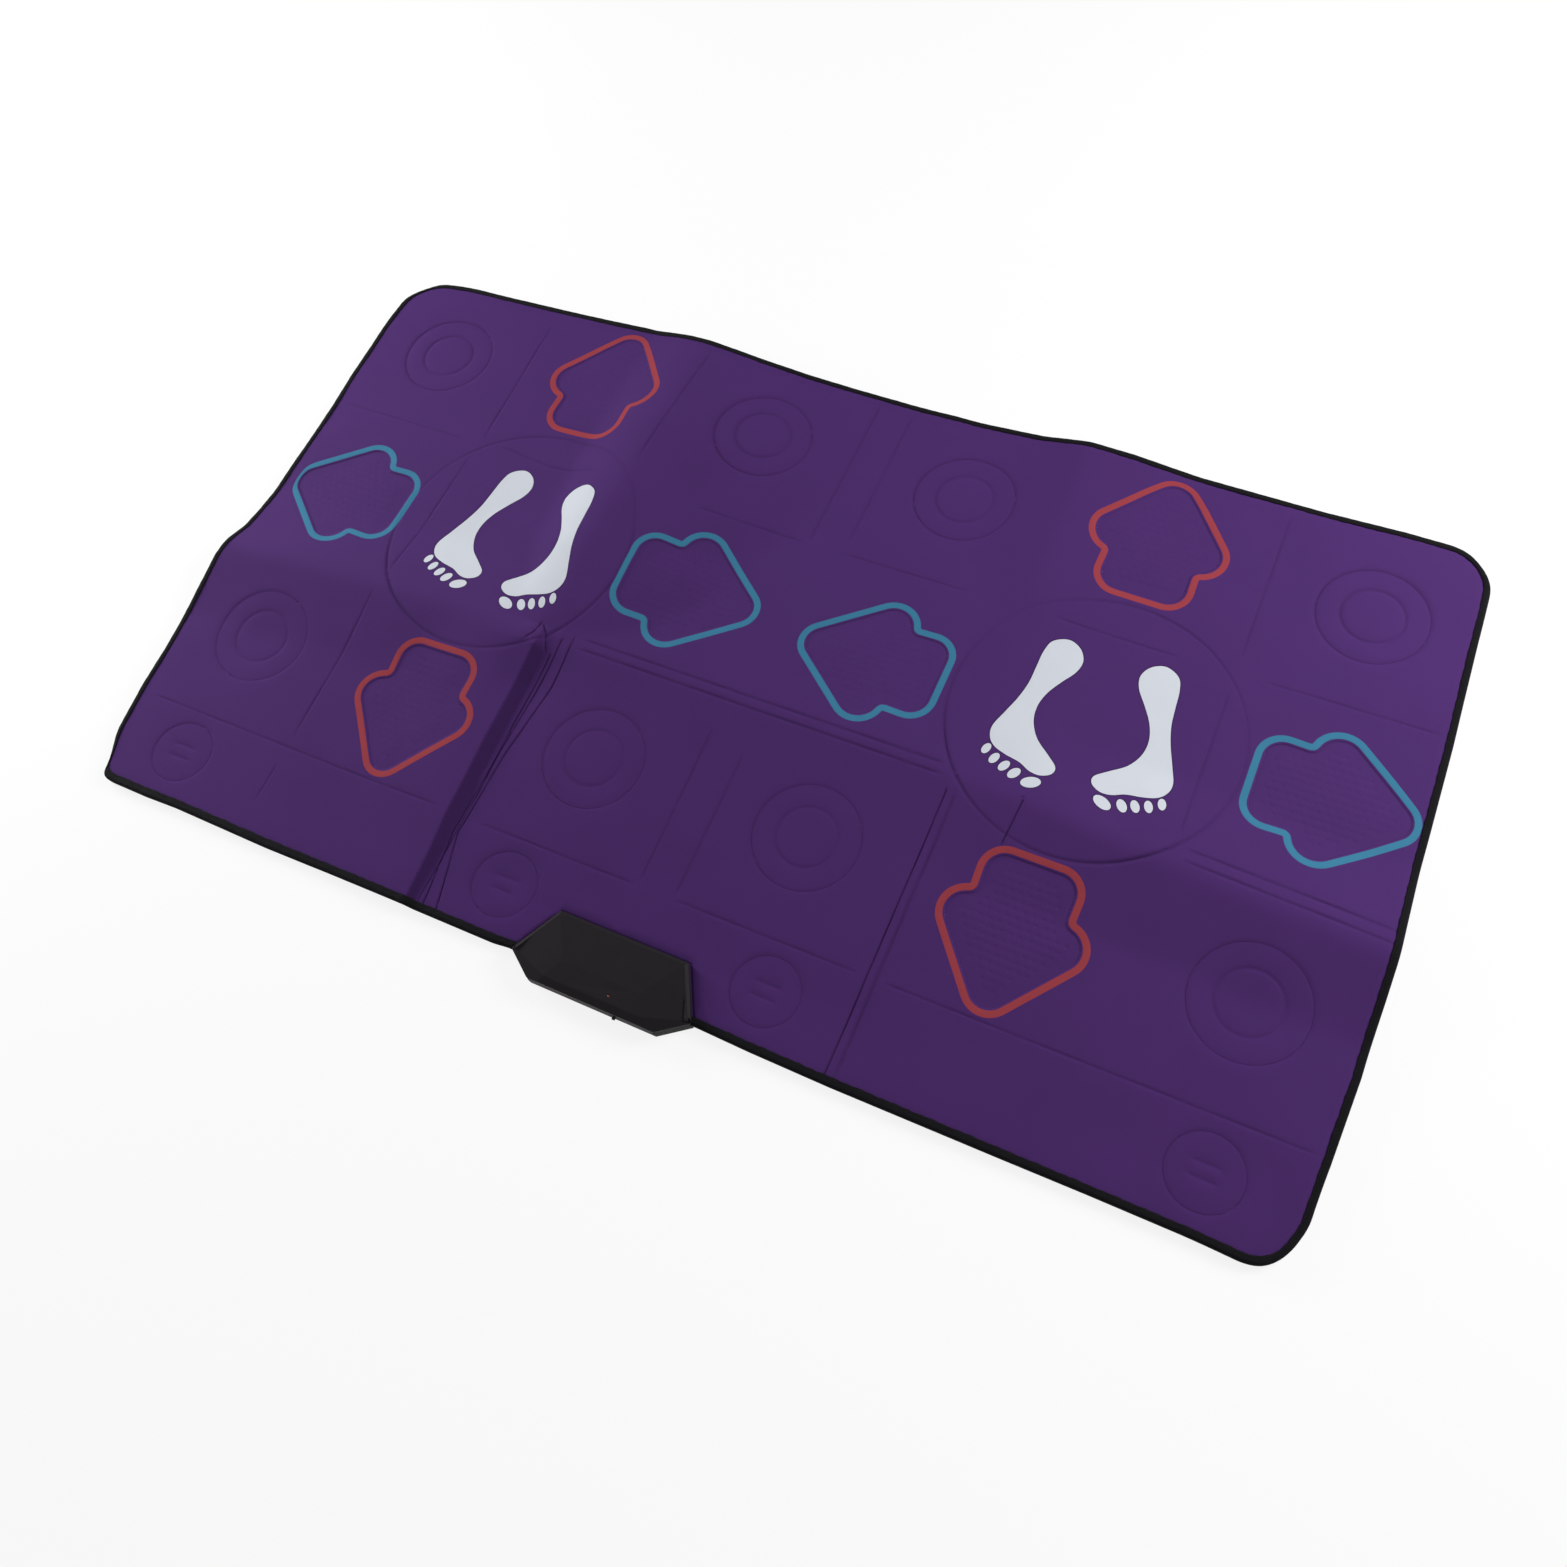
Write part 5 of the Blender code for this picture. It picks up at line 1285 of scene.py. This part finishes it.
# Tail of the contact film: it rises behind the board and bends over into the connector
tail = {"x0": -0.0090, "x1": 0.0180, "thick": 0.0003,
        "path": ((-0.4160, 0.00535), (-0.4225, 0.00545), (-0.4262, 0.0060), (-0.4278, 0.0078),
                 (-0.4282, 0.0105), (-0.4282, 0.0135), (-0.4286, 0.0156), (-0.4302, 0.01635),
                 (-0.4325, 0.0165))}


def addTail():
    path = [Vector(p) for p in tail["path"]]
    normals = []
    for k, p in enumerate(path):
        step = path[min(k + 1, len(path) - 1)] - path[max(k - 1, 0)]
        normals.append(Vector((-step.y, step.x)).normalized() * tail["thick"] / 2)
    points, faces = [], []
    for p, n in zip(path, normals):
        for side in (n, -n):
            q = p + side
            points += [(tail["x0"], q.x, q.y), (tail["x1"], q.x, q.y)]
    for k in range(len(path) - 1):
        a, b = 4 * k, 4 * k + 4
        faces += [(a, b, b + 1, a + 1), (a + 2, a + 3, b + 3, b + 2),
                  (a, a + 2, b + 2, b), (a + 1, b + 1, b + 3, a + 3)]
    end = 4 * (len(path) - 1)
    faces += [(0, 1, 3, 2), (end, end + 2, end + 3, end + 1)]
    piece = makeMesh("sensor_tail", np.array(points), faces, [0] * len(faces))
    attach(piece, "front_centre_panel")
    return piece


caseTop = addCaseTop()
leverNub = addLever()
filmTail = addTail()
print("control box ready")


# Materials
def newSocket(group, name, kind, output=False, value=None):
    socket = group.interface.new_socket(name=name, in_out="OUTPUT" if output else "INPUT", socket_type=kind)
    if value is not None:
        socket.default_value = value


def wire(tree, *pairs):
    for a, b in pairs:
        tree.links.new(a, b)


def newNode(tree, kind, **values):
    node = tree.nodes.new(kind)
    for name, value in values.items():
        if hasattr(node, name):
            setattr(node, name, value)
        else:
            node.inputs[name.replace("_", " ")].default_value = value
    return node


def joined(tree, node, *pairs):
    # each value goes into its socket, as a number or colour or from another node
    for socket, value in pairs:
        if isinstance(value, (int, float, tuple)):
            socket.default_value = value
        elif value is not None:
            tree.links.new(value, socket)
    return node


def calculate(tree, operation, a, b=None, clamp=False):
    node = newNode(tree, "ShaderNodeMath", operation=operation, use_clamp=clamp)
    return joined(tree, node, (node.inputs[0], a), (node.inputs[1], b)).outputs[0]


def mixColour(tree, factor, a, b):
    node = newNode(tree, "ShaderNodeMix", data_type="RGBA")
    return joined(tree, node, (node.inputs[0], factor), (node.inputs[6], a), (node.inputs[7], b)).outputs[2]


def ranged(tree, value, low, high, **values):
    node = newNode(tree, "ShaderNodeMapRange", To_Min=low, To_Max=high, **values)
    return joined(tree, node, (node.inputs["Value"], value)).outputs[0]


def texture(tree, kind, place, **values):
    node = newNode(tree, "ShaderNodeTex" + kind, **values)
    return joined(tree, node, (node.inputs["Vector"], place))


def linear(red, green, blue):
    # a colour written as on screen, from 0 to 255
    return tuple(((c / 255 + 0.055) / 1.055) ** 2.4 if c > 10 else c / 255 / 12.92
                 for c in (red, green, blue)) + (1,)


def toned(colour, share, more=0.0):
    return tuple(min(1, c * share + more) for c in colour[:3]) + (1,)


def knitGroup():
    # fine warp knit on the cloth's own map, in metres: loops in columns, with slight unevenness
    group = bpy.data.node_groups.new("warpKnit", "ShaderNodeTree")
    newSocket(group, "Pitch", "NodeSocketFloat", value=0.0009)
    for name in ("Height", "Tone", "Shine"):
        newSocket(group, name, "NodeSocketFloat", True)
    start = newNode(group, "NodeGroupInput")
    end = newNode(group, "NodeGroupOutput")
    uv = newNode(group, "ShaderNodeUVMap", uv_map="cloth").outputs[0]
    split = newNode(group, "ShaderNodeSeparateXYZ")
    wire(group, (uv, split.inputs[0]))

    def times(a, b):
        return calculate(group, "MULTIPLY", a, b)

    def plus(a, b):
        return calculate(group, "ADD", a, b)

    turn = calculate(group, "DIVIDE", 6.2832, start.outputs["Pitch"])
    across = times(split.outputs[0], turn)
    down = times(split.outputs[1], times(turn, 0.8))
    slant = times(calculate(group, "SINE", across), 1.2)
    columns = calculate(group, "COSINE", across)
    rows = calculate(group, "SINE", plus(down, slant))
    loops = times(plus(columns, 1), plus(rows, 1))
    fine = texture(group, "Noise", uv, Scale=900.0, Detail=3.0, Roughness=0.6).outputs[0]
    broad = texture(group, "Noise", uv, Scale=9.0, Detail=4.0, Roughness=0.55).outputs[0]
    height = plus(times(loops, 0.25), times(fine, 0.6))
    tone = plus(times(broad, 0.7), times(loops, 0.075))
    wire(group, (height, end.inputs["Height"]), (tone, end.inputs["Tone"]), (fine, end.inputs["Shine"]))
    return group


knit = knitGroup()


def startMaterial(name):
    material = bpy.data.materials.new(name)
    material.use_nodes = True
    tree = material.node_tree
    return material, tree, tree.nodes["Principled BSDF"]


def finished(tree, shader, colour, rough, height=None, distance=0.0, strength=1.0):
    # what changes over the surface: its colour, its roughness and the relief that the light shows
    wire(tree, (colour, shader.inputs["Base Color"]), (rough, shader.inputs["Roughness"]))
    if height is not None:
        bump = newNode(tree, "ShaderNodeBump", Strength=strength, Distance=distance)
        wire(tree, (height, bump.inputs["Height"]), (bump.outputs[0], shader.inputs["Normal"]))


def clothMaterial(name, colour, spread, roughness=0.80, depth=0.00008, pitch=0.0009, paintedShadeShare=0.0):
    # knitted cloth: two close tones, the knit as bump and uneven roughness, and painted shade from the mesh's
    # shade map where asked
    material, tree, shader = startMaterial(name)
    group = newNode(tree, "ShaderNodeGroup", node_tree=knit)
    group.inputs["Pitch"].default_value = pitch
    mixed = mixColour(tree, group.outputs["Tone"], toned(colour, 1 - spread), toned(colour, 1 + spread))
    # painted shade: the colour goes towards a near-black tone of itself by the shade map
    if paintedShadeShare:
        shadeAttribute = newNode(tree, "ShaderNodeAttribute", attribute_name="paintedShade")
        amount = calculate(tree, "MULTIPLY", shadeAttribute.outputs["Fac"], paintedShadeShare)
        mixed = mixColour(tree, amount, mixed, toned(colour, 0.08))
    rough = ranged(tree, group.outputs["Shine"], roughness - 0.05, roughness + 0.05)
    finished(tree, shader, mixed, rough, group.outputs["Height"], depth)
    shader.inputs["Specular IOR Level"].default_value = 0.06
    return material


# the last number of purple, red and blue says how strongly painted shade darkens them
fabric = {
    "purple": {"colour": linear(69, 40, 97), "spread": 0.10, "roughness": 0.88, "depth": 0.00012,
               "paintedShadeShare": 1.0},
    "red": {"colour": linear(142, 56, 64), "spread": 0.08, "paintedShadeShare": 0.4},
    "blue": {"colour": linear(54, 112, 141), "spread": 0.08, "paintedShadeShare": 0.4},
    "white": {"colour": linear(194, 198, 206), "spread": 0.04},
    "tape": {"colour": linear(20, 19, 22), "spread": 0.25, "roughness": 0.85, "depth": 0.00018,
             "pitch": 0.0011},
    "thread": {"colour": linear(30, 29, 32), "spread": 0.25, "depth": 0.00010, "pitch": 0.0005},
}


def gripMaterial():
    # the underside: dark cloth with rows of raised rubber dots
    material, tree, shader = startMaterial("nonSlipDots")
    group = newNode(tree, "ShaderNodeGroup", node_tree=knit)
    uv = newNode(tree, "ShaderNodeUVMap", uv_map="cloth").outputs[0]
    dots = texture(tree, "Voronoi", uv, voronoi_dimensions="2D", Scale=125.0, Randomness=0.0)
    mask = ranged(tree, dots.outputs["Distance"], 1.0, 0.0, From_Min=0.24, From_Max=0.30)
    cloth = mixColour(tree, group.outputs["Tone"], linear(32, 31, 35), linear(44, 43, 48))
    mixed = mixColour(tree, mask, cloth, linear(18, 18, 20))
    height = calculate(tree, "ADD", calculate(tree, "MULTIPLY", mask, 3.0), group.outputs["Height"])
    finished(tree, shader, mixed, ranged(tree, mask, 0.82, 0.48), height, 0.00015)
    return material


def moulded(name, colour, roughness, grain, depth, spread=0.12, metallic=0.0, wear=0.0, specular=0.5):
    # moulded plastic or plain metal on object coordinates: fine grain, faint stains and rubbed edges
    material, tree, shader = startMaterial(name)
    place = newNode(tree, "ShaderNodeTexCoord").outputs["Object"]
    fine = texture(tree, "Noise", place, Scale=grain, Detail=4.0, Roughness=0.65).outputs[0]
    broad = texture(tree, "Noise", place, Scale=45.0, Detail=3.0).outputs[0]
    mixed = mixColour(tree, broad, toned(colour, 1 - spread), toned(colour, 1 + spread))
    if wear:
        shape = newNode(tree, "ShaderNodeNewGeometry")
        edge = ranged(tree, shape.outputs["Pointiness"], 0.0, 1.0, From_Min=0.52, From_Max=0.62)
        amount = calculate(tree, "MULTIPLY", edge, calculate(tree, "MULTIPLY", fine, wear))
        mixed = mixColour(tree, amount, mixed, toned(colour, 2.5, 0.02))
    finished(tree, shader, mixed, ranged(tree, fine, roughness - 0.06, roughness + 0.06), fine, depth)
    shader.inputs["Metallic"].default_value = metallic
    shader.inputs["Specular IOR Level"].default_value = specular
    return material


def boardMaterial():
    # green solder mask with copper runs under it
    material, tree, shader = startMaterial("solderMask")
    place = newNode(tree, "ShaderNodeTexCoord").outputs["Object"]
    runs = texture(tree, "Brick", place, Scale=120.0, Mortar_Size=0.06, Mortar_Smooth=0.3).outputs["Fac"]
    grain = texture(tree, "Noise", place, Scale=500.0, Detail=2.0).outputs[0]
    mask = mixColour(tree, grain, linear(18, 84, 48), linear(26, 98, 58))
    mixed = mixColour(tree, runs, mask, linear(62, 132, 84))
    finished(tree, shader, mixed, ranged(tree, grain, 0.24, 0.36), runs, 0.00005, 0.6)
    return material


def cellMaterial():
    # a battery in a plain two-tone sleeve with bare metal ends
    material, tree, shader = startMaterial("cellSleeve")
    place = newNode(tree, "ShaderNodeTexCoord")
    split, facing = newNode(tree, "ShaderNodeSeparateXYZ"), newNode(tree, "ShaderNodeSeparateXYZ")
    wire(tree, (place.outputs["Object"], split.inputs[0]), (place.outputs["Normal"], facing.inputs[0]))
    grain = texture(tree, "Noise", place.outputs["Object"], Scale=900.0, Detail=3.0).outputs[0]
    band = ranged(tree, split.outputs[0], 0.0, 1.0, From_Min=-0.0480, From_Max=-0.0478)
    ends = calculate(tree, "GREATER_THAN", calculate(tree, "ABSOLUTE", facing.outputs[0]), 0.8)
    sleeve = mixColour(tree, band, linear(48, 56, 66), linear(150, 152, 150))
    mixed = mixColour(tree, ends, sleeve, linear(190, 188, 182))
    finished(tree, shader, mixed, ranged(tree, grain, 0.24, 0.34))
    wire(tree, (ends, shader.inputs["Metallic"]))
    return material


def lensMaterial():
    # clear red lamp lens, not lit
    material, tree, shader = startMaterial("lampLens")
    place = newNode(tree, "ShaderNodeTexCoord").outputs["Object"]
    swirl = texture(tree, "Noise", place, Scale=600.0, Detail=2.0).outputs[0]
    mixed = mixColour(tree, swirl, linear(88, 21, 19), linear(110, 28, 25))
    finished(tree, shader, mixed, ranged(tree, swirl, 0.10, 0.20))
    shader.inputs["Coat Weight"].default_value = 0.2
    return material


finishes = {name: clothMaterial("cloth_" + name, **values) for name, values in fabric.items()}
finishes.update({
    "grip": gripMaterial(),
    "film": moulded("polyesterFilm", linear(205, 208, 212), 0.35, 400.0, 0.00002),
    "case": moulded("texturedCase", linear(32, 29.5, 32), 0.50, 2600.0, 0.00005, wear=0.08, specular=0.04),
    "lever": moulded("leverPlastic", linear(16, 16, 16), 0.40, 2600.0, 0.00003, specular=0.14),
    "chip": moulded("mouldedPackage", linear(30, 30, 32), 0.55, 3500.0, 0.00003),
    "can": moulded("tinnedSteel", linear(196, 194, 188), 0.30, 1400.0, 0.00001, 0.05, 1.0),
    "spring": moulded("nickelPlate", linear(200, 197, 190), 0.25, 1800.0, 0.00001, 0.05, 1.0),
    "screw": moulded("zincPlate", linear(172, 172, 174), 0.34, 1600.0, 0.00001, 0.08, 1.0),
    "board": boardMaterial(), "cell": cellMaterial(), "lens": lensMaterial(),
})


def paint(piece, *names):
    slots = piece.data.materials
    for k, name in enumerate(names):
        if k < len(slots):
            slots[k] = finishes[name]
        else:
            slots.append(finishes[name])


for region, piece in coverPieces.items():
    paint(piece, "purple", "red", "blue", "white")
    if region.startswith("pad_"):
        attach(piece, region + "_body")
        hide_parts(region)
    else:
        follow(piece, region)
        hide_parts(*nodesOf("cover", region))
for kind, pieces, finish, slot in (("base", basePieces, "grip", "base_sheet"),
                                   ("sensor", filmPieces, "film", "sensor_film"),
                                   ("binding", bindingPieces, "tape", "edge_tape"),
                                   ("stitches", stitchPieces, "thread", "edge_tape")):
    for region, piece in pieces.items():
        paint(piece, finish)
        follow(piece, region)
        if kind != "stitches":
            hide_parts(*nodesOf(kind, region))
paint(caseTop, "case")
paint(leverNub, "lever")
paint(filmTail, "film")
bare = {
    "case": ("box_bottom_shell", "battery_door"), "board": ("circuit_board",),
    "chip": ("main_chip", "film_connector"), "can": ("radio_module", "switch_body"), "lens": ("power_led",),
    "cell": ("battery_front", "battery_rear"), "spring": ("battery_contact_left", "battery_contact_right"),
    "screw": ("clamp_screw_left", "clamp_screw_right"),
}
for finish, names in bare.items():
    for name in names:
        paint(nodes[name], finish)
print("materials ready")


# Cloth sizes: each quarter as cut, flat
def flatOf(region):
    if region == "strip":
        return 2 * mat["stripX"], 2 * mat["stripY"]
    x = mat["halfX"] + mat["seamX"] if region.endswith("Left") else mat["halfX"] - mat["seamX"]
    y = mat["halfY"] - mat["creaseLong"] if region.startswith("back") else mat["halfY"] + mat["creaseLong"]
    return x, y


def clothArea(piece):
    # the upper side's area in the flat pattern
    return sum(p.area * p.normal.z for p in piece.data.polygons if p.normal.z > 0.5)


for kind, pieces in (("cover", coverPieces), ("base", basePieces)):
    for region, piece in pieces.items():
        if not region.startswith("pad_"):
            width, length = flatOf(region)
            min(width * length, max(0.32 * width * length, clothArea(piece)))
for region, piece in bindingPieces.items():
    width, length = flatOf(region)

# Floor, backdrop and light
studio = {
    "boxes": {"leftBox": {"place": (-2.30, 0.22, 0.70), "size": 0.9, "power": 62.5},
              "backBox": {"place": (1.93, 1.22, 1.33), "size": 1.1, "power": 77.5}},
    "world": 0.19, "floor": 0.80, "floorSize": 40, "floorLevel": -0.0004, "glow": 0.86,
}


def seenPlain(tree):
    # 1 where the camera, a gloss or a clear part sees the backdrop itself
    rays = newNode(tree, "ShaderNodeLightPath")
    straight = calculate(tree, "ADD", rays.outputs["Is Camera Ray"], rays.outputs["Is Glossy Ray"])
    return calculate(tree, "ADD", straight, rays.outputs["Is Transmission Ray"], clamp=True)


def addStudio():
    bpy.ops.object.select_all(action="DESELECT")
    bpy.ops.mesh.primitive_plane_add(size=studio["floorSize"], location=(0, 0, studio["floorLevel"]))
    floor = bpy.context.object
    floor.name = "floor"
    material, tree, shader = startMaterial("paleFloor")
    shader.inputs["Base Color"].default_value = (studio["floor"],) * 3 + (1,)
    shader.inputs["Roughness"].default_value = 0.9
    shader.inputs["Specular IOR Level"].default_value = 0.1
    glow = newNode(tree, "ShaderNodeEmission", Color=(1, 1, 1, 1), Strength=1.0)
    mix = newNode(tree, "ShaderNodeMixShader")
    share = calculate(tree, "MULTIPLY", seenPlain(tree), studio["glow"])
    wire(tree, (share, mix.inputs[0]), (shader.outputs[0], mix.inputs[1]), (glow.outputs[0], mix.inputs[2]),
         (mix.outputs[0], tree.nodes["Material Output"].inputs["Surface"]))
    floor.data.materials.append(material)
    for name, facts in studio["boxes"].items():
        lamp = bpy.data.lights.new(name, "AREA")
        lamp.shape = "SQUARE"
        lamp.size = facts["size"]
        lamp.energy = facts["power"]
        holder = bpy.data.objects.new(name, lamp)
        bpy.context.collection.objects.link(holder)
        holder.location = facts["place"]
        holder.rotation_euler = (-Vector(facts["place"])).to_track_quat("-Z", "Y").to_euler()
    world = bpy.data.worlds.new("studio")
    bpy.context.scene.world = world
    world.use_nodes = True
    tree = world.node_tree
    sky = tree.nodes["Background"]
    sky.inputs["Color"].default_value = (1, 1, 1, 1)
    wire(tree, (ranged(tree, seenPlain(tree), studio["world"], 1.0), sky.inputs["Strength"]))
    bpy.context.scene.view_settings.view_transform = "Standard"


addStudio()
print("studio ready")
